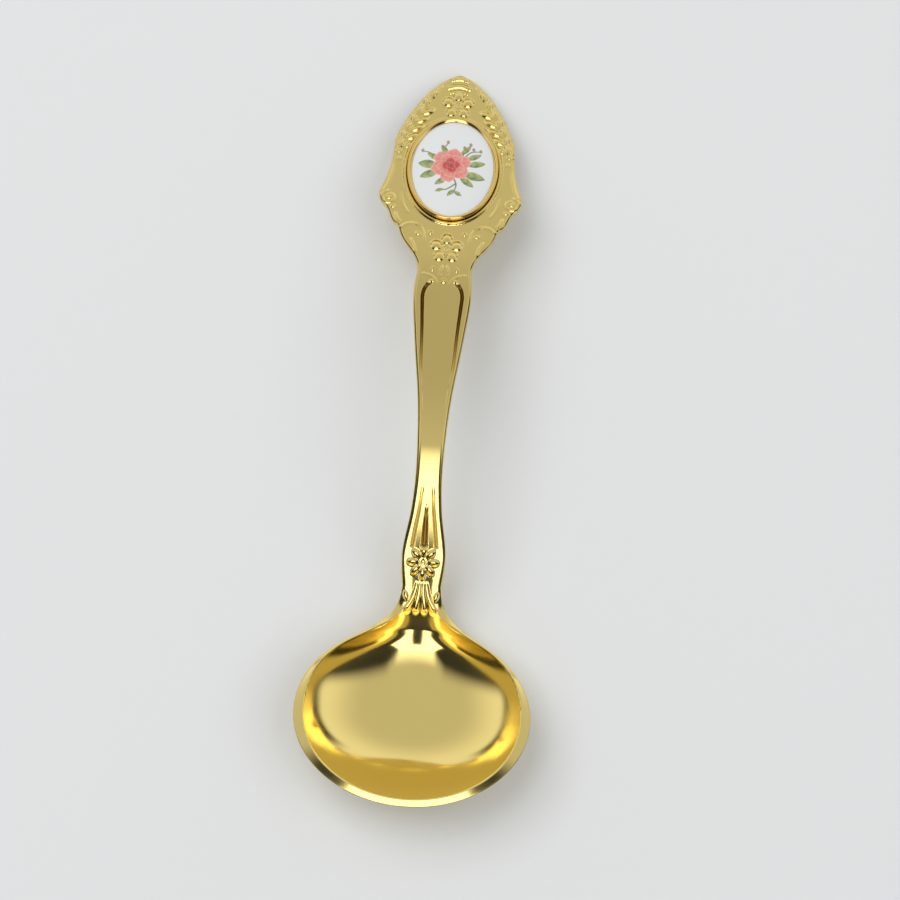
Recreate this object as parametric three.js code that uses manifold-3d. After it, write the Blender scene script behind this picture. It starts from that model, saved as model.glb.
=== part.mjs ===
// Sugar spoon: a struck and gilded blank with a wide oval bowl, a waisted stem and an ornate head, and in the
// head an oval porcelain plaque held by a bezel ring on a bed of adhesive.
// Millimetres, +Z up. The spoon lies bowl up on the plane z = 0, its length along Y with the bowl at -Y.
import * as THREE from 'three';
import { mergeGeometries, mergeVertices } from 'three/addons/utils/BufferGeometryUtils.js';
import Module from 'manifold-3d';

const wasm = await Module();
wasm.setup();

// Bowl
const BOWL_WIDTH = 35;
const BOWL_LENGTH = 27.2;
const BOWL_DEPTH = 8.2; // rim to inside floor, at the middle
const BOWL_WALL = 0.8; // metal under the floor
const FRONT_FULLNESS = 2.1; // power of the inside's curve in front: 2 is a parabola, more is a steeper wall
const BACK_FULLNESS = 3; // the same power at the back and the sides
const FLOOR_BACK = 4; // deepest point behind the bowl's middle
const RAMP_RISE = 2.2; // inside floor to the foot of the ramp that climbs to the neck
const FOOT_WIDTH = 6; // flat spot under the bowl
const RIM_LAND = 1.3; // sloping edge of the rim, in plan
const RIM_FALL = 0.5; // fall of that edge, outwards
const RIM_EDGE = 0.3; // blunt outer edge
const TIP_LIFT = 3.6; // tip of the rim above its heel

// Handle, along its length from the heel of the bowl
const NECK_REACH = 5.8; // heel to the narrowest part of the neck
const KNOT_REACH = 4.7; // neck to the swell that carries the rosette
const WAIST_REACH = 12.7; // swell to the slimmest part of the stem
const ARCH_REACH = 5.8; // slimmest part to the top of the arch
const SHOULDER_REACH = 25.3; // waist to the widest part of the stem
const THROAT_REACH = 4.5; // shoulder to the throat under the head
const BASE_REACH = 8; // throat to the border of the plaque's seat
const CREST_REACH = 7.7; // border of the seat to the top of the crest
const NOTCH_REACH = 0.5; // border of the seat down to the notches between lobes and ears
const EAR_DROP = 4.4; // plaque's middle down to the tips of the ears
const BROW_RISE = 5; // plaque's middle up to the line where the head starts to close

// Handle, across
const NECK_WIDTH = 5.9;
const KNOT_WIDTH = 6.5;
const WAIST_WIDTH = 4;
const SHOULDER_WIDTH = 8.7;
const THROAT_WIDTH = 8.2;
const LOBE_WIDTH = 15.2; // across the points of the lower lobes
const EAR_FIELD = 3.4; // side of the seat's border to the tip of the ear
const BROW_FIELD = 1.7; // side of the seat's border to the edge above the ears

// Handle, seen from the side
const ARCH_RISE = 8.8; // top of the arch above the heel of the rim
const RAMP_FROM = 1.8; // start of the easing from bowl to handle, before the heel
const RAMP_TO = 5.2; // its end, past the heel
const HEEL_DROP = 3.2; // handle below the plane of the rim where it leaves the bowl
const HEEL_SLOPE = 0.5; // rise of the handle there
const HEAD_TILT = THREE.MathUtils.degToRad(18);
const NECK_EDGE = 1.9; // side walls
const WAIST_EDGE = 1.5;
const HEAD_EDGE = 1.7;
const NECK_CROWN = 0.9; // swell of the upper face above the side walls
const WAIST_CROWN = 0.6;
const SHOULDER_CROWN = 0.35;
const HEAD_CROWN = 0.15;
const NECK_BELLY = 0.7; // swell of the lower face
const WAIST_BELLY = 0.35;
const THREAD_DEPTH = 0.22; // grooves that part the stem's border threads from its panel
const FLUTE_DEPTH = 0.35; // groove that divides the stem above the rosette

// Plaque and its setting
const PLAQUE_WIDTH = 13;
const PLAQUE_LENGTH = 18;
const PLAQUE_EDGE = 0.65;
const PLAQUE_CROWN = 0.95;
const ADHESIVE = 0.25;
const BEZEL_WALL = 0.35;
const BEZEL_LIP = 0.25; // how far the ring rolls over the plaque
const BEZEL_RISE = 0.95; // top of the ring above the face of the head
const SEAT_DEPTH = 0.8;
const SEAT_BEAD = 0.45; // struck border round the seat
const SEAT_GAP = 0.15; // between the pieces of the setting

// Ornament
const ROSETTE_RADIUS = 2.4;
const ROSETTE_PETALS = 5;
const CREST_FLOWER_RADIUS = 2.2;
const NECK_ROSETTE_RADIUS = 2;
const NECK_ROSETTE_PETALS = 6;
const RELIEF = 0.45; // height of petals, scallops and tongues
const SCROLL_RADIUS = 0.3; // half the thickness of the scrolls
const VOLUTE_RADIUS = 1.25; // outer turn of the scrolls on the ears
const VOLUTE_EYE = 0.35; // their innermost turn
const BEAD_RADIUS = 0.42;
const TONGUES = 5;
const TONGUE_LENGTH = 5;
const SCALLOPS = 3;

// Stations along the length, from the tip of the bowl
const BOWL_MIDDLE = BOWL_LENGTH / 2;
const NECK = BOWL_LENGTH + NECK_REACH;
const KNOT = NECK + KNOT_REACH;
const WAIST = KNOT + WAIST_REACH;
const ARCH = WAIST + ARCH_REACH;
const SHOULDER = WAIST + SHOULDER_REACH;
const THROAT = SHOULDER + THROAT_REACH;
const SEAT_MARGIN = SEAT_GAP + BEZEL_WALL + SEAT_GAP; // plaque's edge to the wall of its seat
const BORDER = SEAT_MARGIN + SEAT_BEAD;
const SEAT_HALF_WIDTH = PLAQUE_WIDTH / 2 + BORDER;
const SEAT_HALF_LENGTH = (PLAQUE_LENGTH / 2 + BORDER) * Math.cos(HEAD_TILT);
const PLAQUE = THROAT + BASE_REACH + SEAT_HALF_LENGTH;
const CREST = PLAQUE + SEAT_HALF_LENGTH + CREST_REACH;
const EAR = PLAQUE - EAR_DROP;
const BROW = PLAQUE + BROW_RISE;
const NOTCH = PLAQUE - SEAT_HALF_LENGTH - NOTCH_REACH;
const LOBE_HALF_WIDTH = LOBE_WIDTH / 2;
const EAR_HALF_WIDTH = SEAT_HALF_WIDTH + EAR_FIELD;
const BROW_HALF_WIDTH = SEAT_HALF_WIDTH + BROW_FIELD;

const GOLD = new THREE.MeshStandardMaterial({ color: 0xc9ad5a, roughness: 0.12, metalness: 1 });
const BEZEL_GOLD = new THREE.MeshStandardMaterial({ color: 0xc79a3c, roughness: 0.15, metalness: 1 });
const GLUE = new THREE.MeshStandardMaterial({ color: 0xd8d2b8, roughness: 0.6, metalness: 0 });
const PORCELAIN = new THREE.MeshStandardMaterial({ color: 0xe9ebea, roughness: 0.1, metalness: 0 });

const mix = THREE.MathUtils.lerp;
const point = (x, t) => new THREE.Vector2(x, t);

// A value that eases from station to station; stations are [t, value] in order.
function eased(t, stations) {
  const next = stations.findIndex(([at]) => t < at);
  if (next === 0) return stations[0][1];
  if (next < 0) return stations.at(-1)[1];
  const [from, low] = stations[next - 1];
  const [to, high] = stations[next];
  return mix(low, high, THREE.MathUtils.smoothstep(t, from, to));
}

// Right half of the plan outline: the bowl's oval, the fillet into the neck, then the handle up to the crest.
// Each curve only rises in t, so every point is also a cross-section of the handle.
const FILLET_FROM = 0.87; // where the fillet leaves the oval, in radians above its widest line
const FILLET_PULL = 0.75 * NECK_REACH; // how far both ends of the fillet run on before they turn
const bowlCurve = new THREE.EllipseCurve(
  0, BOWL_MIDDLE, BOWL_WIDTH / 2, BOWL_LENGTH / 2, -Math.PI / 2, FILLET_FROM);
const filletStart = bowlCurve.getPoint(1);
const filletPull = bowlCurve.getTangent(1).multiplyScalar(FILLET_PULL).add(filletStart);
const filletCurve = new THREE.CubicBezierCurve(
  filletStart, filletPull, point(NECK_WIDTH / 2, NECK - FILLET_PULL), point(NECK_WIDTH / 2, NECK));
const stemCurve = new THREE.SplineCurve([
  point(NECK_WIDTH / 2, NECK),
  point(KNOT_WIDTH / 2, KNOT),
  point(mix(KNOT_WIDTH, WAIST_WIDTH, 0.78) / 2, mix(KNOT, WAIST, 0.5)),
  point(WAIST_WIDTH / 2, WAIST),
  point(mix(WAIST_WIDTH, SHOULDER_WIDTH, 0.2) / 2, mix(WAIST, SHOULDER, 0.36)),
  point(mix(WAIST_WIDTH, SHOULDER_WIDTH, 0.66) / 2, mix(WAIST, SHOULDER, 0.7)),
  point(SHOULDER_WIDTH / 2, SHOULDER),
  point(THROAT_WIDTH / 2, THROAT),
]);
const lobeCurve = new THREE.CubicBezierCurve(
  point(THROAT_WIDTH / 2, THROAT), point(THROAT_WIDTH / 2, mix(THROAT, NOTCH, 0.45)),
  point(mix(THROAT_WIDTH / 2, LOBE_HALF_WIDTH, 0.75), mix(THROAT, NOTCH, 0.5)),
  point(LOBE_HALF_WIDTH, NOTCH));
const earUnderCurve = new THREE.CubicBezierCurve(
  point(LOBE_HALF_WIDTH, NOTCH), point(mix(LOBE_HALF_WIDTH, EAR_HALF_WIDTH, 0.5), mix(NOTCH, EAR, 0.15)),
  point(mix(LOBE_HALF_WIDTH, EAR_HALF_WIDTH, 0.4), mix(NOTCH, EAR, 0.5)),
  point(mix(LOBE_HALF_WIDTH, EAR_HALF_WIDTH, 0.7), mix(NOTCH, EAR, 0.6)));
const earTipCurve = new THREE.CubicBezierCurve(
  earUnderCurve.v3, point(mix(LOBE_HALF_WIDTH, EAR_HALF_WIDTH, 0.98), mix(NOTCH, EAR, 0.75)),
  point(EAR_HALF_WIDTH + 0.05, mix(NOTCH, EAR, 0.97)), point(EAR_HALF_WIDTH, EAR));
const browCurve = new THREE.CubicBezierCurve(
  point(EAR_HALF_WIDTH, EAR), point(mix(BROW_HALF_WIDTH, EAR_HALF_WIDTH, 0.45), mix(EAR, BROW, 0.25)),
  point(BROW_HALF_WIDTH, mix(EAR, BROW, 0.5)), point(BROW_HALF_WIDTH, BROW));
const crestCurve = new THREE.CubicBezierCurve(
  point(BROW_HALF_WIDTH, BROW), point(0.85 * BROW_HALF_WIDTH, mix(BROW, CREST, 0.42)),
  point(0.36 * BROW_HALF_WIDTH, mix(BROW, CREST, 0.99)), point(0, CREST));
const bowlOutline = [...bowlCurve.getPoints(30), ...filletCurve.getPoints(9).slice(1)];
const handleOutline = [
  [stemCurve, 26], [lobeCurve, 7], [earUnderCurve, 5], [earTipCurve, 5], [browCurve, 7], [crestCurve, 11],
].reduce((rows, [curve, steps]) => rows.concat(curve.getPoints(steps).slice(1)), [bowlOutline.at(-1)]);
const outline = bowlOutline.concat(handleOutline.slice(1));

function halfWidth(t) {
  if (t >= CREST) return 0;
  const next = Math.max(1, outline.findIndex((row) => row.y >= t));
  const [low, high] = [outline[next - 1], outline[next]];
  return mix(low.x, high.x, (t - low.y) / (high.y - low.y));
}

// Height of the handle's middle plane: a curve from the heel over the arch to the throat, then a straight
// head whose lower edge meets the table at the crest.
const rim = (t) => BOWL_WALL + BOWL_DEPTH + (TIP_LIFT * (BOWL_MIDDLE - t)) / BOWL_LENGTH;
const heelPoint = point(BOWL_LENGTH, rim(BOWL_LENGTH) - HEEL_DROP - NECK_CROWN - NECK_EDGE / 2);
const archPoint = point(ARCH, rim(BOWL_LENGTH) + ARCH_RISE - WAIST_CROWN - WAIST_EDGE / 2);
const throatPoint = point(THROAT, HEAD_EDGE / 2 + Math.tan(HEAD_TILT) * (CREST - THROAT));
const heelPull = point((ARCH - BOWL_LENGTH) / 3, (HEEL_SLOPE * (ARCH - BOWL_LENGTH)) / 3);
const archPull = point((THROAT - ARCH) / 3, 0);
const throatPull = point((THROAT - ARCH) / 3, (-Math.tan(HEAD_TILT) * (THROAT - ARCH)) / 3);
const neckSpine = new THREE.CubicBezierCurve(
  heelPoint, heelPoint.clone().add(heelPull), point(mix(BOWL_LENGTH, ARCH, 2 / 3), archPoint.y), archPoint);
const stemSpine = new THREE.CubicBezierCurve(
  archPoint, archPoint.clone().add(archPull), throatPoint.clone().sub(throatPull), throatPoint);

function spine(t) {
  if (t >= THROAT) return throatPoint.y - Math.tan(HEAD_TILT) * (t - THROAT);
  if (t >= ARCH) return stemSpine.getPoint((t - ARCH) / (THROAT - ARCH)).y;
  return neckSpine.getPoint(Math.max(0, t - BOWL_LENGTH) / (ARCH - BOWL_LENGTH)).y;
}

const edge = (t) => eased(t,
  [[NECK, NECK_EDGE], [WAIST, WAIST_EDGE], [SHOULDER, WAIST_EDGE], [THROAT, HEAD_EDGE]]);
const crown = (t) => eased(t,
  [[NECK, NECK_CROWN], [WAIST, WAIST_CROWN], [SHOULDER, SHOULDER_CROWN], [THROAT, HEAD_CROWN]]);
const belly = (t) => eased(t, [[NECK, NECK_BELLY], [WAIST, WAIST_BELLY], [SHOULDER, 0]]);
const threads = (t) => eased(t, [
  [KNOT, 0], [mix(KNOT, WAIST, 0.4), THREAD_DEPTH], [SHOULDER, THREAD_DEPTH], [mix(SHOULDER, THROAT, 0.6), 0],
]);
const flute = (t) => eased(t,
  [[KNOT, 0], [mix(KNOT, WAIST, 0.25), FLUTE_DEPTH], [mix(KNOT, WAIST, 0.7), 0]]);

// Faces of the blank at x across and t along. The bowl's faces and the handle's faces ease into each other
// over the ramp at the heel. Radius 1 is the bowl's outline; its inside ends at the rim's sloping edge.
const THREAD_AT = 0.7; // place of the border groove, as a share of the half width
const THREAD_SPREAD = 0.07; // its width, as the same share
const FLUTE_SPREAD = 0.2; // width of the dividing groove
const FOOT_RADIUS = FOOT_WIDTH / BOWL_WIDTH;
const LAND_RADIUS = 1 - RIM_LAND / (BOWL_WIDTH / 2);
const radius = (x, t) => Math.min(1, Math.hypot(x / (BOWL_WIDTH / 2), (t - BOWL_MIDDLE) / BOWL_MIDDLE));
const heelEase = (t) => THREE.MathUtils.smoothstep(t, BOWL_LENGTH - RAMP_FROM, BOWL_LENGTH + RAMP_TO);

// Distance from the middle line as a share of the half width, and 0 at the very point of the crest.
const shareAcross = (x, t) => Math.min(1, Math.abs(x) / Math.max(halfWidth(t), 1e-6));

// A place in the unit disc, drawn in perspective so that the point (0, back) comes to the middle, or with
// back negative goes from the middle to there. The edge of the disc stays the same circle.
function recentred(place, back) {
  const scale = 1 / Math.max(0.1, 1 - back * place.y);
  return point(place.x * Math.sqrt(1 - back ** 2) * scale, (place.y - back) * scale);
}

// How far up the bowl's curve a place is: 0 at the deepest point, which is set back, and 1 on the oval that
// is the given share of the outline. The middle of the back climbs less and runs on as the ramp.
function climbAt(x, t, share) {
  const wide = (share * BOWL_WIDTH) / 2;
  const long = share * BOWL_MIDDLE;
  const place = recentred(point(x / wide, (t - BOWL_MIDDLE) / long), FLOOR_BACK / long);
  const sides = place.y < 0 ? 1 : shareAcross(x, t) ** 3;
  return Math.sqrt(place.x ** 2 + mix(RAMP_RISE / BOWL_DEPTH, 1, sides) * place.y ** 2);
}

function insideAt(x, t) {
  const behind = THREE.MathUtils.smoothstep(t, 0.3 * BOWL_MIDDLE, 1.2 * BOWL_MIDDLE);
  const fullness = mix(FRONT_FULLNESS, BACK_FULLNESS, behind);
  const inside = BOWL_WALL + (rim(t) - BOWL_WALL) * climbAt(x, t, LAND_RADIUS) ** fullness;
  const sides = shareAcross(x, t) ** 3;
  const fall = RIM_FALL * mix(1, sides, THREE.MathUtils.smoothstep(t, BOWL_MIDDLE, BOWL_LENGTH));
  return Math.min(rim(t), inside) - (fall * Math.max(0, radius(x, t) - LAND_RADIUS)) / (1 - LAND_RADIUS);
}

// Outside of the bowl: flat on its foot, and a parabola from there to the rim.
function outsideAt(x, t) {
  const climb = Math.max(0, Math.min(1, climbAt(x, t, 1)) - FOOT_RADIUS) / (1 - FOOT_RADIUS);
  return (rim(t) - RIM_FALL - RIM_EDGE) * climb ** 2;
}

function topAt(x, t) {
  const ease = heelEase(t);
  if (ease === 0) return insideAt(x, t);
  const u = shareAcross(x, t);
  const thread = threads(t) * Math.exp(-(((u - THREAD_AT) / THREAD_SPREAD) ** 2));
  const groove = thread + flute(t) * Math.exp(-((u / FLUTE_SPREAD) ** 2));
  return mix(insideAt(x, t), spine(t) + edge(t) / 2 + crown(t) * (1 - u * u) - groove, ease);
}

function underAt(x, t) {
  const ease = heelEase(t);
  if (ease === 0) return outsideAt(x, t);
  const u = shareAcross(x, t);
  return mix(outsideAt(x, t), spine(t) - edge(t) / 2 - belly(t) * (1 - u * u), ease);
}

// Plan place (x, t) as a point of the part, at a height given by a face of the blank.
const onFace = (face, x, t) => new THREE.Vector3(x, t - CREST / 2, face(x, t));

function geometryOf(vertices, triangles) {
  const geometry = new THREE.BufferGeometry().setFromPoints(vertices);
  geometry.setIndex(triangles.flat());
  return geometry;
}

// A grid of points, rows of equal length, as triangles; turn the faces over with flip.
function sheet(rows, flip) {
  const width = rows[0].length;
  const triangles = [];
  for (let i = 0; i + 1 < rows.length; i += 1) {
    for (let j = 0; j + 1 < width; j += 1) {
      const [a, b, c, d] = [i * width + j, i * width + j + 1, (i + 1) * width + j + 1, (i + 1) * width + j];
      triangles.push([a, b, c], [a, c, d]);
    }
  }
  return geometryOf(rows.flat(), flip ? triangles.map(([a, b, c]) => [a, c, b]) : triangles);
}

// The bowl's face as rings round its middle. Rings up to the rim's sloping edge are the bowl's own oval, and
// the rest spread out to the outline through the fillets and across the neck, on the handle's columns.
function bowlFace(face, ringRadii, columns, flip) {
  const across = columns.map((u) => point((-u * NECK_WIDTH) / 2, NECK));
  const left = bowlOutline.slice(1, -1).reverse().map((row) => point(-row.x, row.y));
  const loop = [...across, ...left, ...bowlOutline.slice(0, -1)];
  const wide = (LAND_RADIUS * BOWL_WIDTH) / 2;
  const long = LAND_RADIUS * BOWL_MIDDLE;
  const back = FLOOR_BACK / long;
  const rings = ringRadii.map((share) => loop.map((row) => {
    if (share === 1) return onFace(face, row.x, row.y);
    const edge = point(row.x / wide, (row.y - BOWL_MIDDLE) / long).normalize();
    const inner = recentred(edge, back).multiplyScalar(Math.min(1, share / LAND_RADIUS));
    const place = recentred(inner, -back).multiply(point(wide, long)).add(point(0, BOWL_MIDDLE));
    place.lerp(row, Math.max(0, share - LAND_RADIUS) / (1 - LAND_RADIUS));
    return onFace(face, place.x, place.y);
  }));
  const middle = onFace(face, 0, BOWL_MIDDLE + FLOOR_BACK);
  return sheet([loop.map(() => middle), ...rings].map((ring) => [...ring, ring[0]]), flip);
}

function handleFace(face, columns, flip) {
  return sheet(handleOutline.map((row) => columns.map((u) => onFace(face, u * row.x, row.y))), flip);
}

// Side wall round the whole outline, between the upper and the lower face.
function sideWall() {
  const left = outline.slice(0, -1).reverse().map((row) => point(-row.x, row.y));
  const loop = [...outline, ...left];
  return sheet([underAt, topAt].map((face) => loop.map((row) => onFace(face, row.x, row.y))), false);
}

// Closed solid from a geometry: shared vertices merged, triangles without area left out.
function solid(geometry) {
  const bare = geometry.clone();
  bare.deleteAttribute('normal');
  bare.deleteAttribute('uv');
  const merged = mergeVertices(bare, 1e-4);
  const index = Array.from(merged.index.array);
  const kept = [];
  for (let i = 0; i < index.length; i += 3) {
    const [a, b, c] = index.slice(i, i + 3);
    if (a !== b && b !== c && c !== a) kept.push(a, b, c);
  }
  return new wasm.Manifold(new wasm.Mesh({
    numProp: 3, vertProperties: merged.attributes.position.array, triVerts: new Uint32Array(kept),
  }));
}

function geometryFrom(body) {
  const mesh = body.getMesh();
  const geometry = new THREE.BufferGeometry();
  geometry.setAttribute('position', new THREE.BufferAttribute(new Float32Array(mesh.vertProperties), 3));
  geometry.setIndex(Array.from(mesh.triVerts));
  geometry.computeVertexNormals();
  return geometry;
}

// Frame on the upper face at (x, t): its Y runs along the spoon in the face, its Z out of the face.
function seatedAt(x, t, turn = 0) {
  const step = 0.2;
  const slope = Math.atan2(topAt(x, t + step) - topAt(x, t - step), 2 * step);
  const place = onFace(topAt, x, t);
  return new THREE.Matrix4().makeTranslation(place.x, place.y, place.z)
    .multiply(new THREE.Matrix4().makeRotationX(slope)).multiply(new THREE.Matrix4().makeRotationZ(turn));
}

// Rounded boss, half sunk in the face: half sizes across, along and above.
function boss(across, along, above) {
  return new THREE.SphereGeometry(1, 8, 4).rotateX(Math.PI / 2).scale(across, along, above);
}

// Flower of rounded petals round an eye, each petal seated on the face where it lies. A petal reaches from
// inside the eye to the flower's radius.
const PETAL_FROM = 0.2; // inner end of a petal, as a share of the flower's radius
const PETAL_WIDTH = 0.72; // its width, as the same share
const EYE_RADIUS = 0.3; // radius of the eye, as the same share

function flower(x, t, reach, petals, turn = 0) {
  const middle = (reach * (1 + PETAL_FROM)) / 2;
  const petal = (k) => {
    const angle = turn + (k * 2 * Math.PI) / petals;
    return boss((PETAL_WIDTH / 2) * reach, reach - middle, RELIEF)
      .applyMatrix4(seatedAt(x - middle * Math.sin(angle), t + middle * Math.cos(angle), angle));
  };
  const eye = boss(EYE_RADIUS * reach, EYE_RADIUS * reach, 1.2 * RELIEF).applyMatrix4(seatedAt(x, t));
  return [eye, ...Array.from({ length: petals }, (_, k) => petal(k))];
}

// Rod laid on the face along a smooth line through plan points, in both halves of the spoon.
const ROD_SIDES = 5;

function scrollPair(plan, thick = SCROLL_RADIUS, steps = 10) {
  const circle = new THREE.EllipseCurve(0, 0, thick, thick, 0, 2 * Math.PI);
  const round = new THREE.Shape(circle.getPoints(ROD_SIDES).slice(1));
  const sunk = new THREE.Vector3(0, 0, -thick / 4);
  return [-1, 1].map((side) => {
    const path = new THREE.CatmullRomCurve3(plan.map(([x, t]) => onFace(topAt, side * x, t).add(sunk)));
    return new THREE.ExtrudeGeometry(round, { steps, bevelEnabled: false, extrudePath: path });
  });
}

// Plan points of a volute that winds in about (x, t), from the angle `from` through `turns`.
function volute(x, t, outer, inner, from, turns, steps = 11) {
  return Array.from({ length: steps + 1 }, (_, k) => {
    const angle = from + (k / steps) * turns * 2 * Math.PI;
    const reach = mix(outer, inner, k / steps);
    return [x + reach * Math.cos(angle), t + reach * Math.sin(angle)];
  });
}

const beadPair = (x, t, size = BEAD_RADIUS) => [-1, 1].map((side) =>
  boss(size, size, size).applyMatrix4(seatedAt(side * x, t)));

// Head: rosette under the plaque, lobes, ears, collar, and the crest's flower, scallops and leaf scrolls.
function headOrnament() {
  const rosette = THROAT + 0.46 * BASE_REACH;
  const crestFlower = PLAQUE + SEAT_HALF_LENGTH + 0.28 * CREST_REACH;
  const lobe = mix(THROAT, NOTCH, 0.82);
  const scallops = Array.from({ length: SCALLOPS }, (_, k) => {
    const t = mix(crestFlower + CREST_FLOWER_RADIUS, CREST, (k + 0.45) / SCALLOPS);
    return boss(0.55 * halfWidth(t), 0.5, RELIEF).applyMatrix4(seatedAt(0, t));
  });
  return [
    ...flower(0, rosette, ROSETTE_RADIUS, ROSETTE_PETALS),
    ...beadPair(1.25 * ROSETTE_RADIUS, rosette + 1.35 * ROSETTE_RADIUS),
    ...beadPair(2.1 * ROSETTE_RADIUS, lobe),
    ...beadPair(0.85 * ROSETTE_RADIUS, THROAT + BEAD_RADIUS),
    boss(BEAD_RADIUS, 1.6 * BEAD_RADIUS, BEAD_RADIUS).applyMatrix4(seatedAt(0, mix(SHOULDER, THROAT, 0.66))),
    ...scrollPair([
      [LOBE_HALF_WIDTH - SCROLL_RADIUS, NOTCH - SCROLL_RADIUS],
      [0.76 * LOBE_HALF_WIDTH, NOTCH + 0.5 * SCROLL_RADIUS],
      [0.56 * LOBE_HALF_WIDTH, lobe + 2 * SCROLL_RADIUS], [0.5 * LOBE_HALF_WIDTH, lobe - 3 * SCROLL_RADIUS],
      [0.56 * LOBE_HALF_WIDTH, lobe - 6 * SCROLL_RADIUS],
    ]),
    ...scrollPair(volute(EAR_HALF_WIDTH - VOLUTE_RADIUS - 1.5 * SCROLL_RADIUS, EAR - VOLUTE_RADIUS,
      VOLUTE_RADIUS, VOLUTE_EYE, 0.6 * Math.PI, -1.1)),
    ...scrollPair([
      [0.31 * THROAT_WIDTH, mix(SHOULDER, THROAT, 0.3)], [0.25 * THROAT_WIDTH, mix(SHOULDER, THROAT, 0.62)],
      [0.1 * THROAT_WIDTH, mix(SHOULDER, THROAT, 0.5)],
    ], 0.8 * SCROLL_RADIUS, 8),
    ...flower(0, crestFlower, CREST_FLOWER_RADIUS, ROSETTE_PETALS, Math.PI),
    ...scallops,
    ...scrollPair([
      [1.3 * CREST_FLOWER_RADIUS, crestFlower + 0.6], [0.56 * BROW_HALF_WIDTH, mix(BROW, CREST, 0.47)],
      [0.76 * BROW_HALF_WIDTH, mix(BROW, CREST, 0.24)], [0.87 * BROW_HALF_WIDTH, BROW],
    ]),
    ...beadPair(0.42 * BROW_HALF_WIDTH, mix(BROW, CREST, 0.68)),
    ...beadPair(0.62 * BROW_HALF_WIDTH, mix(BROW, CREST, 0.5)),
  ];
}

// Neck: rosette on the swell, and tongues that fan out of it towards the bowl.
function neckOrnament() {
  const rosette = KNOT - 0.35 * KNOT_REACH;
  const tongues = Array.from({ length: TONGUES }, (_, k) => {
    const side = k / (TONGUES - 1) - 0.5;
    const t = rosette - NECK_ROSETTE_RADIUS - 0.45 * TONGUE_LENGTH * Math.cos(side);
    return boss(0.14 * NECK_WIDTH, TONGUE_LENGTH / 2, RELIEF)
      .applyMatrix4(seatedAt(0.72 * NECK_WIDTH * side, t, 0.35 * side));
  });
  return [...flower(0, rosette, NECK_ROSETTE_RADIUS, NECK_ROSETTE_PETALS), ...tongues];
}

// Oval piece about the plaque's middle: each profile entry [grow, height] is an oval that lies grow outside
// the plaque's edge. A profile that starts and ends on AXIS closes there, and any other closes on itself.
const AXIS = null;
const OVAL_STEPS = 44;

function ovalPiece(profile) {
  const ring = ([grow, height]) => Array.from({ length: OVAL_STEPS + 1 }, (_, k) => {
    const angle = ((k % OVAL_STEPS) * 2 * Math.PI) / OVAL_STEPS;
    const [a, b] = grow === AXIS ? [0, 0] : [PLAQUE_WIDTH / 2 + grow, PLAQUE_LENGTH / 2 + grow];
    return new THREE.Vector3(a * Math.cos(angle), b * Math.sin(angle), height);
  });
  const closed = profile[0][0] === AXIS ? profile : [...profile, profile[0]];
  return sheet(closed.map(ring), false);
}

// Rounded ridge as profile entries, from grow `from` out to `to`, rising from `low` to `high`.
function ridge(from, to, low, high, steps = 4) {
  return Array.from({ length: steps + 1 }, (_, k) => {
    const angle = Math.PI * (1 - k / steps);
    return [mix(from, to, 0.5 + 0.5 * Math.cos(angle)), mix(low, high, Math.sin(angle))];
  });
}

// Heights in the setting, from the face of the head.
const ADHESIVE_LOW = -SEAT_DEPTH + SEAT_GAP;
const PLAQUE_LOW = ADHESIVE_LOW + ADHESIVE + SEAT_GAP;
const PLAQUE_RIM = PLAQUE_LOW + PLAQUE_EDGE;
const dome = (grow) => PLAQUE_RIM + PLAQUE_CROWN * (1 - (1 + grow / (PLAQUE_WIDTH / 2)) ** 2);
const LIP_LOW = dome(-BEZEL_LIP) + SEAT_GAP;

function plaqueGeometry() {
  const rings = [0, 0.03, 0.1, 0.22, 0.38, 0.56, 0.75].map((share) => -share * (PLAQUE_WIDTH / 2));
  return ovalPiece([
    [AXIS, PLAQUE_LOW], [0, PLAQUE_LOW], ...rings.map((grow) => [grow, dome(grow)]),
    [AXIS, dome(-PLAQUE_WIDTH / 2)],
  ]);
}

function adhesiveGeometry() {
  const inset = -SEAT_GAP;
  return ovalPiece([[AXIS, ADHESIVE_LOW], [inset, ADHESIVE_LOW], [inset, ADHESIVE_LOW + ADHESIVE],
    [AXIS, ADHESIVE_LOW + ADHESIVE]]);
}

function bezelGeometry() {
  const [inner, outer] = [SEAT_GAP, SEAT_GAP + BEZEL_WALL];
  return ovalPiece([
    [inner, ADHESIVE_LOW], [outer, ADHESIVE_LOW], ...ridge(outer, -BEZEL_LIP, LIP_LOW, BEZEL_RISE),
    [inner, LIP_LOW],
  ]);
}

// Frame of the setting: the plaque's middle on the face of the head.
const setting = seatedAt(0, PLAQUE);

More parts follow.
